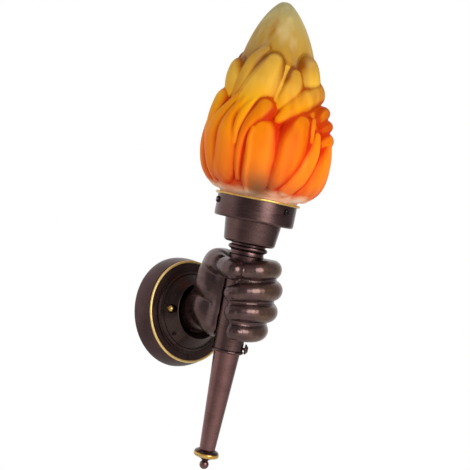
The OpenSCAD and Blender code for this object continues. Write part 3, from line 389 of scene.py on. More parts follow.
# how red (above 0) or pale (below 0) a tongue is, beside the rest at its height
TONES = {
    "red_hook": 0.26, "bud": 0.35, "outer_bud_high": 0.75, "outer_bud_mid": 0.8, "outer_bud_low": 0.5,
    "crescent": -0.4, "centre_tongue": -0.1, "left_low_lobe": -0.36, "left_high_lobe": -0.22, "far_strand": 0.06,
    "long_lobe": 0.34, "cone_strand": 0.25, "swept_strand": 0.04, "right_petal": 0.38, "broad_petal": -0.08,
    "inner_flame": 0.2, "right_strand": -0.05, "inner_strand": -0.25, "right_high_lobe": 0.08,
}


def glass_profile():
    """The core's rows: radius, height and the outward direction of each, closest together where the tongues are."""
    fine = flow(CORE, 3000)
    high = fine[:, 1]
    dense = 0.4 + 0.6 * step(115, 124, high) - 0.35 * step(272, 290, high)
    length = np.r_[0, np.cumsum(np.linalg.norm(np.diff(fine, axis=0), axis=1) * (dense[1:] + dense[:-1]) / 2)]
    pick = np.interp(np.linspace(0, length[-1], ROWS), length, np.arange(len(fine)))
    along = np.gradient(fine, axis=0)
    out = np.stack([along[:, 1], -along[:, 0]], 1)
    out /= np.linalg.norm(out, axis=1)[:, None]
    out[-1] = (0, 1)
    take = lambda values: np.interp(pick, np.arange(len(fine)), values)
    return take(fine[:, 0]), take(high), take(out[:, 0]), take(out[:, 1])


def on_core(angle, height, radius, high):
    """Points of the core at those angles (degrees) and heights."""
    r = np.interp(height, high, radius)
    a = np.radians(angle + FACING)
    return np.stack([r * np.cos(a), r * np.sin(a), height], -1)


def all_tongues():
    """Every tongue with its tone: the front set, the petals at the sides, and the same set turned to the back."""
    for name, path in {**TONGUES, **SIDE_TONGUES}.items():
        yield path, TONES.get(name, 0.0)
    for name, path in TONGUES.items():
        if name not in FRONT_ONLY:
            yield [(a + BACK_TURN, *rest) for a, *rest in path], TONES.get(name, 0.0)


def raise_tongues(radius, high, angles):
    """The rise over the core at each row and column, and how it is painted there."""
    rise = np.zeros((len(high), len(angles)))
    paint = {key: np.zeros_like(rise) for key in ("edge", "tip", "tone")}
    paint["edge"] += 1.0
    grid = on_core(*np.broadcast_arrays(angles[None, :], high[:, None]), radius, high)
    for path, tone in all_tongues():
        line = flow(path, TONGUE_STEPS)
        line[:, 2] *= WIDEN
        middle = on_core(line[:, 0], line[:, 1], radius, high)
        reach = line[:, 2].max() + 1
        rows = np.where((high > line[:, 1].min() - reach) & (high < line[:, 1].max() + reach))[0]
        near = np.abs((angles - (line[:, 0].min() + line[:, 0].max()) / 2 + 180) % 360 - 180)
        cols = np.where(near < np.ptp(line[:, 0]) / 2 + TONGUE_REACH)[0]
        spot = grid[np.ix_(rows, cols)]
        best = np.full(spot.shape[:2], 9.0)
        place = np.zeros_like(best)
        for k in range(len(line) - 1):
            a, b = middle[k], middle[k + 1]
            t = np.clip((spot - a) @ (b - a) / max((b - a) @ (b - a), 1e-9), 0, 1)
            away = np.linalg.norm(spot - a - t[..., None] * (b - a), axis=-1)
            q = away / (line[k, 2] + t * (line[k + 1, 2] - line[k, 2]))
            place = np.where(q < best, k + t, place)
            best = np.minimum(q, best)
        tall = np.interp(place, np.arange(len(line)), line[:, 3])
        bump = tall * np.clip(1 - best ** 2, 0, 1) ** DOME
        here = rise[np.ix_(rows, cols)]
        over = (best < 1) & (bump > here)
        joined = (here + bump + np.sqrt((here - bump) ** 2 + SOFT_JOIN ** 2)) / 2
        rise[np.ix_(rows, cols)] = np.where(best < 1, joined, here)
        share = place / (len(line) - 1)
        for key, value in (("edge", best), ("tip", share), ("tone", tone + 0 * best)):
            old = paint[key][np.ix_(rows, cols)]
            paint[key][np.ix_(rows, cols)] = np.where(over, value, old)
    return rise, paint


def blur(values, times):
    """A binomial blur, round the columns and along the rows."""
    for _ in range(times):
        values = (np.roll(values, 1, 1) + 2 * values + np.roll(values, -1, 1)) / 4
        padded = np.pad(values, ((1, 1), (0, 0)), mode="edge")
        values = (padded[:-2] + 2 * padded[1:-1] + padded[2:]) / 4
    return values


def make_flame():
    """The glass shell: its outer wall with the tongues, its plain inner wall, and a cap over each."""
    radius, high, out_r, out_s = glass_profile()
    angles = np.arange(COLUMNS) * 360.0 / COLUMNS
    rise, paint = raise_tongues(radius, high, angles)
    rise = blur(rise, 1) * step(*TONGUE_START, high)[:, None]
    # how far each point lies below its blurred neighbours, which paints shade into the creases
    cavity = blur(rise, CAVITY_BLUR) - rise
    foot, streak = patches(angles, high)
    turn = np.radians(angles + FACING)
    r = radius[:, None] + out_r[:, None] * rise
    s = high[:, None] + out_s[:, None] * rise
    inner, outer = np.linspace(0, INNER_TOP, INNER_ROWS), np.linspace(0, 1, ROWS)
    inner_r = np.interp(inner, outer, radius - out_r * GLASS_WALL)
    inner_s = np.interp(inner, outer, high - out_s * GLASS_WALL)
    inner_s[0] = GLASS_FOOT
    r = np.vstack([np.repeat(inner_r[::-1, None], COLUMNS, 1), r[:-1]])
    s = np.vstack([np.repeat(inner_s[::-1, None], COLUMNS, 1), s[:-1]])
    share = np.clip((s - NECK_TOP) / (FLAME_TOP - NECK_TOP), 0, 1)
    points = np.stack([r * np.cos(turn), r * np.sin(turn) + FLAME_BACK * share ** LEAN_CURVE, s], -1)
    ends = np.array([[0, FLAME_BACK * INNER_LEAN, inner_s[-1]], [0, FLAME_BACK, FLAME_TOP]])
    count = len(points)
    first = np.arange(COLUMNS)
    after = (first + 1) % COLUMNS
    loop = np.stack([first, after, after + COLUMNS, first + COLUMNS], 1)
    faces = [k * COLUMNS + loop for k in range(count - 1)]
    base = count * COLUMNS
    rim = (count - 1) * COLUMNS
    fans = [(base, b, a) for a, b in zip(first, after)] + [(rim + a, rim + b, base + 1) for a, b in zip(first, after)]
    flat = np.vstack([points.reshape(-1, 3), ends])
    values = {
        "height": np.r_[share.ravel(), 1.0, 1.0],
        "cavity": lay_over(cavity), "edge": lay_over(blur(paint["edge"], 1)),
        "tip": lay_over(blur(paint["tip"], 1)), "tone": lay_over(blur(paint["tone"], 2)),
        "foot": lay_over(foot), "streak": lay_over(streak),
        "inside": np.r_[np.repeat(np.arange(count) < INNER_ROWS, COLUMNS).astype(float), 1.0, 0.0],
    }
    quads = np.vstack(faces).tolist() + [tuple(int(i) for i in f) for f in fans]
    flame = make_piece("flame_glass_shell", torch_to_world(flat), quads, values)
    flame.data.materials.append(flame_glass())
    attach(flame, "shade")
    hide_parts("shade_glass")


def patches(angles, high):
    """How strong the broad petal's grey smear and the cone's amber streak are at each row and column."""
    a, s = (angles[None, :] + 180) % 360 - 180, high[:, None]
    foot = np.exp(-((a - SMEAR[0]) / SMEAR[2]) ** 2 - ((s - SMEAR[1]) / SMEAR[3]) ** 2)
    along = np.clip((s - STREAK[1]) / (STREAK[3] - STREAK[1]), 0, 1)
    middle = STREAK[0] + (STREAK[2] - STREAK[0]) * along
    ends = step(STREAK[1] - 8, STREAK[1] + 6, s) * step(STREAK[3] + 8, STREAK[3] - 6, s)
    return foot, ends * np.exp(-((a - middle) / STREAK[4]) ** 2)


def lay_over(values):
    """A painted value for every vertex: nothing on the inner wall, and the rows' own on the outer one."""
    return np.r_[np.zeros(INNER_ROWS * COLUMNS), values[:-1].ravel(), 0.0, values[-1, 0]]


def attribute(tree, name):
    """A value that the mesh holds at its points."""
    return node(tree, "Attribute", attribute_name=name).outputs["Fac"]


def painted_flame(tree, where):
    """The glass's colour: a pale foot, then red to sand at the tip, with painted shade deeper in the creases and the
    paint's own deeper red on the tongues' tips.
    """
    cloud = spread(tree, noise(tree, where, 45, 3), 0.3, 0.7, -0.012, 0.012)
    height = maths(tree, "ADD", attribute(tree, "height"), cloud)
    brushed = noise(tree, stretch(tree, torch_frame(tree), BRUSH_STRETCH), 1.0, 1.5)
    # the crest colour turned toward the deep colour: partly the paint's own deeper red, partly painted shade in the
    # creases and along the rims
    colour = mix(tree, deep_paint_and_shade(tree, where, brushed), ramp(tree, height, CREST), ramp(tree, height, DEEP_PAINT_AND_SHADE))
    colour = mix(tree, maths(tree, "MULTIPLY", attribute(tree, "streak"), 0.75), colour, AMBER_STREAK)
    colour = mix(tree, maths(tree, "MULTIPLY", attribute(tree, "foot"), 0.85), colour, GREY_SMEAR)
    # pale streaks up the upper flame and cone: partly the glass's own streaky paint, partly painted highlight
    pale = maths(tree, "MULTIPLY", spread(tree, brushed, 0.42, 0.78, 0.0, 0.4), spread(tree, height, 0.58, 0.8))
    colour = mix(tree, pale, colour, PALE_HIGHLIGHT_STREAK)
    speck = spread(tree, noise(tree, where, 900, 2), 0.4, 0.8, 0.0, 0.012)
    colour = mix(tree, speck, colour, SPECK)
    return mix(tree, attribute(tree, "inside"), colour, INNER_WALL)


def deep_paint_and_shade(tree, where, brushed):
    """How much of the deep colour shows, from 0 to 1: painted shade in the creases and along a tongue's rim, and the
    paint's own deeper colour at its tip and by its tone.
    """
    # painted shade in the creases between the tongues
    crease_shade = spread(tree, attribute(tree, "cavity"), 0.1, 1.8)
    # painted shade along each tongue's rim and outside the tongues, stronger toward the red tips
    rim_shade = spread(tree, attribute(tree, "edge"), 0.44, 0.95)
    tip = spread(tree, attribute(tree, "tip"), 0.55, 1.0)
    rimmed = maths(tree, "MULTIPLY", rim_shade, maths(tree, "ADD", maths(tree, "MULTIPLY", tip, 0.6), 0.6))
    amount = maths(tree, "ADD", maths(tree, "MULTIPLY", crease_shade, 0.85), rimmed)
    amount = maths(tree, "ADD", amount, maths(tree, "MULTIPLY", tip, 0.3))
    drift = spread(tree, brushed, 0.3, 0.7, -0.16, 0.16)
    return maths(tree, "ADD", maths(tree, "ADD", amount, drift), attribute(tree, "tone"), clamp=True)


def flame_glass():
    """Frosted glass under the flame's paint."""
    material = bpy.data.materials.new("painted_flame_glass")
    material.use_nodes = True
    tree = material.node_tree
    shader = tree.nodes["Principled BSDF"]
    where = node(tree, "TexCoord").outputs["Object"]
    colour = painted_flame(tree, where)
    tree.links.new(colour, shader.inputs["Base Color"])
    # painted glow: the paint colour is also given off as light
    tree.links.new(colour, shader.inputs["Emission Color"])
    shader.inputs["Emission Strength"].default_value = PAINTED_GLOW
    rough = spread(tree, noise(tree, where, 160, 4), 0.3, 0.7, 0.42, 0.52)
    tree.links.new(rough, shader.inputs["Roughness"])
    shader.inputs["Subsurface Weight"].default_value = 0.15
    shader.inputs["Subsurface Radius"].default_value = (1.0, 0.45, 0.2)
    shader.inputs["Subsurface Scale"].default_value = 3.0 * MM
    shader.inputs["Specular IOR Level"].default_value = 0.06
    frost = node(tree, "Bump", {"Height": noise(tree, where, 2600, 2), "Strength": 0.12, "Distance": 0.1 * MM})
    tree.links.new(frost.outputs[0], shader.inputs["Normal"])
    return material


# ---------------------------------------------------------------- the cast hand

HAND_GRID = 1.0
HAND_LOW = (-50.0, -50.0, -42.0)
HAND_HIGH = (50.0, 66.0, 66.0)
WRIST_SEAT = 32.9
TUBE_LOW = (-40.5, 15.6)
TUBE_HIGH = (58.0, 17.8)
TUBE_GAP = 0.3
NIPPLE_BORE = 5.3

# round limbs of the back of the hand through (side, back, up, radius), in torch coordinates
PALM = {
    "wrist": [(0, 64, -14.1, 21), (0, 54, -10, 21.4), (0, 45, -3, 20.5)],
    "index_metacarpal": [(5, 46, 8, 15), (20, 33, 28, 13.5), (31, 12, 47, 10.6)],
    "middle_metacarpal": [(7, 46, 2, 15), (24, 32, 16, 13.6), (33, 10, 28, 11)],
    "ring_metacarpal": [(7, 46, -4, 15), (24, 32, 2, 13.4), (33, 10, 8, 10.8)],
    "little_metacarpal": [(5, 46, -10, 14.5), (21, 32, -10, 12.6), (30, 12, -13, 9.8)],
    "thumb_root": [(-4, 48, 2, 15), (-13, 35, 20, 13.4), (-13, 30, 40, 12)],
    "heel_root": [(-4, 48, -8, 15), (-12, 34, -6, 13), (-10, 26, -18, 10)],
    "web": [(-14, 28, 44, 12.4), (6, 28, 46, 12), (24, 20, 47, 10.5)],
}
# the palm's pads, the fillet along the tube, the thumb and the fingers, through (right, toward, up, radius), in turned
# coordinates
PADS = {
    "thumb_base": [(-24, -20, 48, 12.4), (-27.5, -11, 47.5, 11.8), (-28.5, -4, 46, 10.6), (-26.5, 2, 45.4, 10)],
    "thenar": [(-27, -20, 46, 12.6), (-31.2, -16, 32, 12.8), (-29, -11.5, 22, 12.8), (-27, -8.5, 16, 11.8)],
    "heel": [(-26, -19, 0, 12), (-25, -17, -5, 12.2), (-23.6, -15.5, -11, 11.8), (-22, -14, -17, 10.8),
             (-17.5, -11, -24, 8.4)],
}
TUBE_BED = [(-17.4, -1.8, 34, 7.8), (-17.4, -1.8, 4, 7.8), (-17, -2.8, -20, 7.4)]
THUMB = [(-18.2, 15.5, 43.8, 10.8), (-14.6, 23.6, 43.2, 10.8), (-10.8, 29.2, 42.6, 10.3)]
FINGERS = {
    "index": [(19, -28, 47.5, 10.6), (29, -12, 48.6, 10.4), (28.4, 3, 49, 10.5), (22, 16, 48.2, 10.5),
              (12.5, 25.5, 46, 10.2), (2.5, 26.4, 43.8, 9.4)],
    "middle": [(22, -27, 28, 11), (33.5, -11, 28.2, 10.8), (33, 3.5, 27.8, 10.9), (26.5, 17, 26.6, 10.9),
               (14.5, 27, 24.8, 10.3), (1.5, 28.6, 21.8, 9.9), (-7.8, 25.4, 18.6, 9)],
    "ring": [(22, -27, 7, 10.8), (33.5, -11, 5.6, 10.4), (33, 3.5, 4.6, 10.3), (26.5, 17, 4, 10.3),
             (15, 27, 3.4, 9.9), (4, 28.5, 1.9, 9.6), (-3.6, 26.6, 0.4, 9)],
    "little": [(20, -26, -13.5, 9.8), (28.4, -10, -15, 9.6), (27.4, 4, -16.4, 9.7), (21.5, 16.5, -17.6, 9.7),
               (12.5, 25, -18.4, 9.3), (5.5, 27.2, -18.6, 9), (1.2, 26.6, -18.8, 8.5)],
}
WEB_RADIUS = 4.4
FINGER_STEPS = 20
PALM_JOIN = 7.0
PAD_JOIN = 2.6
THUMB_JOIN = 2.0
FINGER_JOIN = 1.2
LIMB_JOIN = 0.15
# how often the skin is smoothed, by what share, and how often for the broad shape that bulges are measured from
SKIN_PASSES = 4
SKIN_SHARE = 0.4
BROAD_PASSES = 60
# how far a nail stands up and how deep the groove round it is
NAIL_RISE = 0.5
NAIL_GROOVE = 0.5
# nails in turned coordinates: centre, pointing along, half length, half width
NAILS = [((-7.6, 39.2, 43.4), (0.95, 0.28, -0.06), 6.8, 6.2), ((3.2, 35.6, -18.8), (-0.93, -0.36, -0.04), 5.4, 4.6),
         ((-5.0, 34.6, 0.2), (-0.8, -0.58, -0.12), 5.2, 4.6), ((-8.6, 33.2, 18.4), (-0.8, -0.58, -0.2), 5.2, 4.6)]


def turned(points):
    """Turned coordinates as torch coordinates. Anything past the third number stays."""
    points = np.array(points, float)
    a = math.radians(FACING)
    side = -math.sin(a) * points[..., 0] + math.cos(a) * points[..., 1]
    back = math.cos(a) * points[..., 0] + math.sin(a) * points[..., 1]
    return np.concatenate([np.stack([side, back], -1), points[..., 2:]], -1)


def limb_distance(space, path, join):
    """The distance from every point of space to a chain of round cones."""
    total = None
    path = np.array(path, float)
    for a, b in zip(path[:-1], path[1:]):
        way = b[:3] - a[:3]
        t = np.clip((space - a[:3]) @ way / (way @ way), 0, 1)
        away = np.linalg.norm(space - a[:3] - t[..., None] * way, axis=-1) - (a[3] + t * (b[3] - a[3]))
        total = away if total is None else melt(total, away, join)
    return total


def melt(a, b, join):
    """Two distances joined with a rounded valley."""
    near = np.clip(0.5 + (b - a) / (2 * join), 0, 1)
    return b + (a - b) * near - join * near * (1 - near)


def join_limbs(space, paths, join):
    """The distance to several chains, melted together."""
    total = None
    for path in paths:
        part = limb_distance(space, path, join)
        total = part if total is None else melt(total, part, join)
    return total


def finger_paths():
    """The fingers as smooth paths, and the webs between neighbours."""
    fingers = [turned(flow(path, FINGER_STEPS)) for path in FINGERS.values()]
    webs = []
    for a, b in zip(fingers[:-1], fingers[1:]):
        web = (a + b) / 2
        web[:, 3] = WEB_RADIUS
        webs.append(web)
    return fingers, webs


def hand_distance(space):
    """The distance to the fist, with the torch's bore, the seat on the boss and the wires' way cut out."""
    fingers, webs = finger_paths()
    pads = join_limbs(space, [turned(path) for path in PADS.values()], PAD_JOIN)
    hand = melt(join_limbs(space, PALM.values(), PALM_JOIN), pads, PALM_JOIN)
    hand = melt(hand, limb_distance(space, turned(TUBE_BED), LIMB_JOIN), PALM_JOIN)
    hand = melt(hand, limb_distance(space, turned(THUMB), LIMB_JOIN), THUMB_JOIN)
    for path in fingers + webs:
        hand = melt(hand, limb_distance(space, path, LIMB_JOIN), FINGER_JOIN)
    for centre, along, long_half, wide_half in NAILS:
        hand = press_nail(space, hand, turned(centre), turned(along), long_half, wide_half)
    out = np.hypot(space[..., 0], space[..., 1])
    bore = TUBE_LOW[1] + (space[..., 2] - TUBE_LOW[0]) * (TUBE_HIGH[1] - TUBE_LOW[1]) / (TUBE_HIGH[0] - TUBE_LOW[0])
    hand = np.maximum(hand, bore + TUBE_GAP - out)
    world_y = TORCH_ZERO[1] / MM + space @ np.array([0.0, TORCH_BACK[1], TORCH_UP[1]])
    world_z = space @ np.array([0.0, TORCH_BACK[2], TORCH_UP[2]])
    hand = np.maximum(hand, world_y + WRIST_SEAT)
    wire_way = np.maximum(np.hypot(space[..., 0], world_z) - NIPPLE_BORE, -space[..., 1])
    return np.maximum(hand, -wire_way)


def press_nail(space, hand, centre, along, long_half, wide_half):
    """Raises a nail plate inside a fine groove."""
    along = along / np.linalg.norm(along)
    out = np.array([centre[0], centre[1], 0.0])
    out = out - along * (out @ along)
    out /= np.linalg.norm(out)
    across = np.cross(along, out)
    off = space - centre
    m = np.hypot(off @ along / long_half, off @ across / wide_half)
    facing = step(-6, -3, off @ out)
    plate = NAIL_RISE * (1 - step(0.8, 0.95, m)) * facing
    groove = NAIL_GROOVE * np.exp(-((m - 1.05) / 0.12) ** 2) * facing
    return hand - plate + groove


def surface_nets(field, low, pitch):
    """The zero surface of a field on a grid, as points and quads facing out."""
    inside = field < 0
    cell_shape = tuple(n - 1 for n in field.shape)
    total = np.zeros((*cell_shape, 3))
    hits = np.zeros(cell_shape)
    corners = [np.array(c) for c in np.ndindex(2, 2, 2)]
    view = lambda array, c: array[tuple(slice(c[i], c[i] + cell_shape[i]) for i in range(3))]
    for a in corners:
        for axis in range(3):
            if a[axis]:
                continue
            b = a.copy()
            b[axis] = 1
            fa, fb = view(field, a), view(field, b)
            cross = (fa < 0) != (fb < 0)
            t = np.where(cross, fa / np.where(cross, fa - fb, 1), 0)
            spot = np.stack([np.full(cell_shape, float(a[i])) for i in range(3)], -1)
            spot[..., axis] += t
            total += spot * cross[..., None]
            hits += cross
    used = hits > 0
    number = np.full(cell_shape, -1)
    number[used] = np.arange(used.sum())
    cells = np.argwhere(used)
    points = (cells + total[used] / hits[used][:, None]) * pitch + low
    quads = []
    for axis in range(3):
        u, v = (axis + 1) % 3, (axis + 2) % 3
        head = [slice(1, -1)] * 3
        head[axis] = slice(0, -1)
        tail = list(head)
        tail[axis] = slice(1, None)
        a, b = inside[tuple(head)], inside[tuple(tail)]
        for flip in (False, True):
            at = np.argwhere(b & ~a if flip else a & ~b)
            at[:, u] += 1
            at[:, v] += 1
            ring = [(0, 0), (1, 0), (1, 1), (0, 1)]
            loop = []
            for du, dv in (ring[::-1] if flip else ring):
                c = at.copy()
                c[:, u] -= 1 - du
                c[:, v] -= 1 - dv
                loop.append(number[tuple(c.T)])
            quads.append(np.stack(loop, 1))
    return points, np.vstack(quads)


def smoothed(points, quads, times, share=0.5):
    """Points moved towards the middle of their neighbours."""
    a = quads.ravel()
    b = np.roll(quads, -1, 1).ravel()
    ends, others = np.r_[a, b], np.r_[b, a]
    count = np.bincount(ends, minlength=len(points))[:, None]
    for _ in range(times):
        total = np.stack([np.bincount(ends, points[others, i], len(points)) for i in range(points.shape[1])], 1)
        points = points + share * (total / count - points)
    return points


def outward(points, quads):
    """Unit normals at the points."""
    p = points[quads]
    face = np.cross(p[:, 2] - p[:, 0], p[:, 3] - p[:, 1])
    total = np.stack([np.bincount(quads.ravel(), np.repeat(face[:, i], 4), len(points)) for i in range(3)], 1)
    return total / np.linalg.norm(total, axis=1)[:, None]


def make_hand():
    """The fist's skin, with how far each point stands proud and how far it lies to the knuckles' side."""
    axes = [np.arange(lo, hi, HAND_GRID) for lo, hi in zip(HAND_LOW, HAND_HIGH)]
    space = np.stack(np.meshgrid(*axes, indexing="ij"), -1)
    points, quads = surface_nets(hand_distance(space), np.array(HAND_LOW), HAND_GRID)
    points = smoothed(points, quads, SKIN_PASSES, SKIN_SHARE)
    normal = outward(points, quads)
    broad = smoothed(points, quads, BROAD_PASSES)
    bulge = np.einsum("ij,ij->i", points - broad, normal)
    a = math.radians(FACING)
    values = {"bulge": bulge, "outer": points[:, 1] * math.cos(a) - points[:, 0] * math.sin(a)}
    hand = make_piece("cast_hand_shell", torch_to_world(points), quads.tolist(), values)
    hand.data.materials.append(cast_bronze())
    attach(hand, "root")
    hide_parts("hand_casting")


def cast_bronze():
    """Satin dark bronze over a light casting, rubbed to gold-brown on the knuckles, with painted shade darkening its
    creases.
    """
    material = bpy.data.materials.new("cast_dark_bronze")
    material.use_nodes = True
    tree = material.node_tree
    shader = tree.nodes["Principled BSDF"]
    where = torch_frame(tree)
    cloud = noise(tree, where, 70, 4)
    colour = ramp(tree, cloud, [(0.3, (72, 52, 52)), (0.55, (90, 67, 66)), (0.75, (104, 77, 73))])
    brush = noise(tree, stretch(tree, where, (120, 120, 1500)), 1.0, 2)
    high = spread(tree, attribute(tree, "bulge"), -0.3, 0.7)
    outer = spread(tree, attribute(tree, "outer"), 12, 34)
    speckle = spread(tree, noise(tree, where, 380, 4), 0.38, 0.62, 0.3, 1.0)
    rub = maths(tree, "MULTIPLY", maths(tree, "MULTIPLY", high, outer), speckle)
    colour = mix(tree, maths(tree, "MULTIPLY", rub, 0.42), colour, (172, 128, 76))
    # painted shade: the skin darkens toward near black where it lies below its broad shape, in the creases
    hand_crease_shade = spread(tree, attribute(tree, "bulge"), -0.4, -2.4, 0.0, 0.7)
    colour = mix(tree, hand_crease_shade, colour, (26, 17, 18))
    colour = mix(tree, spread(tree, brush, 0.35, 0.7, 0.0, 0.16), colour, (150, 118, 112))
    tree.links.new(colour, shader.inputs["Base Color"])
    shader.inputs["Metallic"].default_value = 0.9
    shader.inputs["Coat Weight"].default_value = 0.35
    shader.inputs["Coat Roughness"].default_value = 0.24
    rough = maths(tree, "ADD", spread(tree, brush, 0.3, 0.7, 0.27, 0.35), maths(tree, "MULTIPLY", rub, 0.1))
    tree.links.new(rough, shader.inputs["Roughness"])
    lumps = noise(tree, where, 90, 3)
    relief = maths(tree, "ADD", lumps, maths(tree, "MULTIPLY", brush, 0.05))
    bump = node(tree, "Bump", {"Height": relief, "Strength": 0.13, "Distance": 0.5 * MM})
    tree.links.new(bump.outputs[0], shader.inputs["Normal"])
    return material


# ---------------------------------------------------------------- materials of the carried-over nodes

def torch_frame(tree):
    """Object coordinates turned so that Z runs along the torch."""
    place = node(tree, "TexCoord").outputs["Object"]
    spin = {"Vector": place, "Rotation": (-TORCH_LEAN, 0, 0)}
    turned = node(tree, "Mapping", spin, vector_type="POINT")
    shift = -np.array([TORCH_ZERO @ TORCH_SIDE, TORCH_ZERO @ TORCH_BACK, TORCH_ZERO @ TORCH_UP])
    turned.inputs["Location"].default_value = shift.tolist()
    return turned.outputs[0]


def wall_frame(tree):
    """Object coordinates turned so that Z runs out of the wall."""
    place = node(tree, "TexCoord").outputs["Object"]
    return node(tree, "Mapping", {"Vector": place, "Rotation": (math.pi / 2, 0, 0)}, vector_type="POINT").outputs[0]


def stretch(tree, where, scale):
    """Coordinates multiplied axis by axis."""
    return node(tree, "VectorMath", {0: where, 1: scale}, operation="MULTIPLY").outputs[0]


def turned_grain(tree, where, fine, slow, detail=2.0):
    """Noise drawn out into rings round Z, as a lathe or a brush leaves it."""
    flat = stretch(tree, where, (1, 1, 0))
    radius = node(tree, "VectorMath", {0: flat}, operation="LENGTH").outputs["Value"]
    parts = node(tree, "SeparateXYZ", {0: where}).outputs
    ring = node(tree, "CombineXYZ", {0: radius, 2: parts[2]}).outputs[0]
    sweep = node(tree, "VectorMath", {0: ring, 1: (fine,) * 3, 2: stretch(tree, where, (slow,) * 3)},
                 operation="MULTIPLY_ADD").outputs[0]
    return noise(tree, sweep, 1.0, detail)


def metal(name, tones, rough, axis=None, grain=(2400, 60), cloud=60, bump=0.25, metallic=1.0, dust=None):
    """A metal with cloudy colour, fine lathe lines round its axis or a plain grain, and worn flecks."""
    material = bpy.data.materials.new(name)
    material.use_nodes = True
    tree = material.node_tree
    shader = tree.nodes["Principled BSDF"]
    where = torch_frame(tree) if axis == "torch" else wall_frame(tree)
    if axis:
        lines = turned_grain(tree, where, *grain)
        coarse = turned_grain(tree, where, grain[0] / 4, grain[1])
    else:
        lines = noise(tree, where, grain[0] / 2, 4)
        coarse = noise(tree, where, grain[0] / 7, 3)
    patch = noise(tree, where, cloud, 5)
    colour = ramp(tree, patch, [(0.3, tones[0]), (0.7, tones[1])])
    colour = mix(tree, spread(tree, lines, 0.35, 0.7, 0.0, 0.25), colour, tones[2])
    colour = mix(tree, spread(tree, coarse, 0.4, 0.7, 0.0, 0.15), colour, tones[2])
    if dust:
        fleck = spread(tree, noise(tree, where, 700, 6), 0.62, 0.72, 0.0, 0.5)
        colour = mix(tree, fleck, colour, dust)
    tree.links.new(colour, shader.inputs["Base Color"])
    shader.inputs["Metallic"].default_value = metallic
    tree.links.new(spread(tree, coarse, 0.3, 0.7, rough[0], rough[1]), shader.inputs["Roughness"])
    relief = node(tree, "Bump", {"Height": lines, "Strength": bump, "Distance": 0.08 * MM})
    tree.links.new(relief.outputs[0], shader.inputs["Normal"])
    return material


def moulded(name, tones, rough, grain=900, bump=0.2, coat=0.0, subsurface=0.0):
    """A plastic, rubber, ceramic or fibre with mottled colour and a fine skin."""
    material = bpy.data.materials.new(name)
    material.use_nodes = True
    tree = material.node_tree
    shader = tree.nodes["Principled BSDF"]
    where = wall_frame(tree)
    patch = noise(tree, where, 90, 5)
    colour = ramp(tree, patch, [(0.3, tones[0]), (0.7, tones[1])])
    fine = noise(tree, where, grain, 4)
    colour = mix(tree, spread(tree, fine, 0.4, 0.75, 0.0, 0.25), colour, tones[2])
    tree.links.new(colour, shader.inputs["Base Color"])
    tree.links.new(spread(tree, fine, 0.3, 0.7, rough[0], rough[1]), shader.inputs["Roughness"])
    shader.inputs["Coat Weight"].default_value = coat
    shader.inputs["Subsurface Weight"].default_value = subsurface
    shader.inputs["Subsurface Scale"].default_value = MM
    relief = node(tree, "Bump", {"Height": fine, "Strength": bump, "Distance": 0.1 * MM})
    tree.links.new(relief.outputs[0], shader.inputs["Normal"])
    return material


# each finish: its darker and lighter ground, and its fine lines, as screen colours
BRONZE = ((82, 60, 60), (98, 75, 74), (124, 98, 94))
GILT = ((196, 148, 62), (222, 176, 92), (250, 220, 150))
# a lighter copy of the torch bronze: painted highlight on the shaft and the finial ball
LIT_BRONZE = ((108, 76, 75), (128, 92, 90), (146, 112, 108))
DARK_BRONZE = ((70, 53, 53), (86, 66, 66), (108, 86, 84))
# a darker copy of the wall bronze: painted shade on the boss
SHADED_BRONZE = ((54, 43, 41), (68, 54, 51), (92, 74, 70))
# a paler copy of the gilt: painted reflection on the canopy ring
LIT_GILT = ((236, 196, 112), (246, 208, 128), (255, 232, 176))
BRASS = ((190, 152, 84), (212, 176, 104), (236, 208, 146))
ZINC = ((158, 160, 160), (182, 182, 178), (206, 206, 200))
BLACK_STEEL = ((34, 30, 30), (52, 46, 45), (92, 84, 82))
SOLDER = ((150, 150, 150), (176, 176, 174), (200, 200, 196))
TUNGSTEN = ((92, 90, 88), (116, 114, 110), (150, 148, 144))
IVORY = ((228, 226, 218), (238, 236, 230), (246, 244, 240))
BROWN = ((94, 52, 30), (110, 62, 36), (128, 78, 50))
BLUE = ((36, 84, 160), (46, 98, 178), (74, 124, 196))
GREEN_YELLOW = ((66, 132, 48), (84, 148, 58), (150, 176, 60))
BLACK_PLASTIC = ((32, 30, 30), (42, 40, 40), (60, 58, 58))
PORCELAIN = ((232, 228, 220), (242, 240, 234), (250, 248, 244))
FIBRE = ((176, 164, 140), (194, 182, 158), (214, 204, 184))
FROSTED = ((238, 236, 230), (246, 244, 240), (252, 250, 248))
BLACK_GLASS = ((16, 16, 18), (26, 26, 28), (44, 44, 48))
CLEAR_STEM = ((206, 214, 212), (222, 228, 226), (240, 244, 242))
AMBER = ((230, 150, 60), (240, 170, 80), (250, 200, 130))


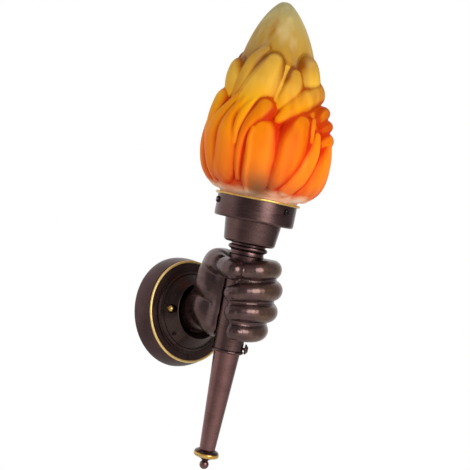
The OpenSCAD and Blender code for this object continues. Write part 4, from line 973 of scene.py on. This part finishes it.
def make_finishes():
    """One material for each of the record's slots, and some nodes' own: their own axis for the brushed ones, and lit
    and shaded copies of the bronze and gilt that paint light and shade on them.
    """
    bronze_torch = metal("dark_bronze_torch", BRONZE, (0.25, 0.33), "torch", bump=0.1, dust=(128, 98, 74))
    # painted highlight: the shaft and the finial ball get this lighter copy of the torch bronze
    lit_bronze_shaft = metal("lit_bronze_torch", LIT_BRONZE, (0.26, 0.32), "torch", bump=0.08, dust=(140, 108, 86))
    bronze_wall = metal("dark_bronze_wall", DARK_BRONZE, (0.32, 0.42), "wall", dust=(120, 94, 76))
    gilt_torch = metal("gilt_torch", GILT, (0.2, 0.32), "torch", cloud=120, metallic=0.65)
    # painted reflection: the canopy ring gets a paler copy of the gilt
    lit_gilt_wall = metal("lit_gilt_wall", LIT_GILT, (0.34, 0.42), "wall", cloud=120, bump=0.03, metallic=0.5)
    brass = metal("plain_brass", BRASS, (0.2, 0.36), "wall", cloud=150)
    zinc = metal("zinc_steel", ZINC, (0.28, 0.42), cloud=240)
    finishes = {
        "cast_bronze": metal("cast_bronze_hidden", BRONZE, (0.34, 0.46)),
        "dark_bronze": bronze_torch, "gilt": gilt_torch, "plain_brass": brass, "zinc_steel": zinc,
        "blackened_steel": metal("blackened_steel", BLACK_STEEL, (0.26, 0.4)),
        "bulb_aluminium": metal("bulb_aluminium", ZINC, (0.2, 0.34), "torch"),
        "solder": metal("solder", SOLDER, (0.3, 0.5)),
        "tungsten": metal("tungsten", TUNGSTEN, (0.3, 0.45)),
        "block_plastic": moulded("block_plastic", IVORY, (0.4, 0.55)),
        "brown_insulation": moulded("brown_insulation", BROWN, (0.4, 0.55)),
        "blue_insulation": moulded("blue_insulation", BLUE, (0.4, 0.55)),
        "green_insulation": moulded("green_insulation", GREEN_YELLOW, (0.4, 0.55)),
        "holder_plastic": moulded("holder_plastic", BLACK_PLASTIC, (0.38, 0.5)),
        "porcelain": moulded("porcelain", PORCELAIN, (0.14, 0.24), coat=0.4),
        "gasket_fibre": moulded("gasket_fibre", FIBRE, (0.8, 0.95), 1600),
        "frosted_bulb": moulded("frosted_bulb", FROSTED, (0.32, 0.44), 1500),
        "black_glass": moulded("black_glass", BLACK_GLASS, (0.1, 0.2), coat=0.5),
        "stem_glass": moulded("stem_glass", CLEAR_STEM, (0.08, 0.18), coat=0.3),
        "flame_glass": moulded("flame_glass_hidden", AMBER, (0.35, 0.45)),
    }
    own = {name: bronze_wall for name in ("canopy_drum", "boss_screw")}
    # painted shade: the boss gets a darker copy of the wall bronze
    own["canopy_boss"] = metal("shaded_bronze_wall", SHADED_BRONZE, (0.24, 0.34), "wall", dust=(120, 94, 76))
    # the paler gilt copy: painted reflection
    own["canopy_ring"] = lit_gilt_wall
    # the lighter bronze copy: painted highlight
    own.update({name: lit_bronze_shaft for name in ("taper_shaft", "finial_ball")})
    slots = {part["node"]: part["material_slot"] for part in frame["record"]["subparts"]}
    for name, thing in frame["nodes"].items():
        finish = own.get(name) or finishes[slots[name]]
        thing.data.materials.clear()
        thing.data.materials.append(finish)


# ---------------------------------------------------------------- the whole scene

bpy.context.scene.view_settings.view_transform = "Standard"
make_camera()
make_world()
make_lights()
make_floor()
make_finishes()
make_flame()
make_hand()
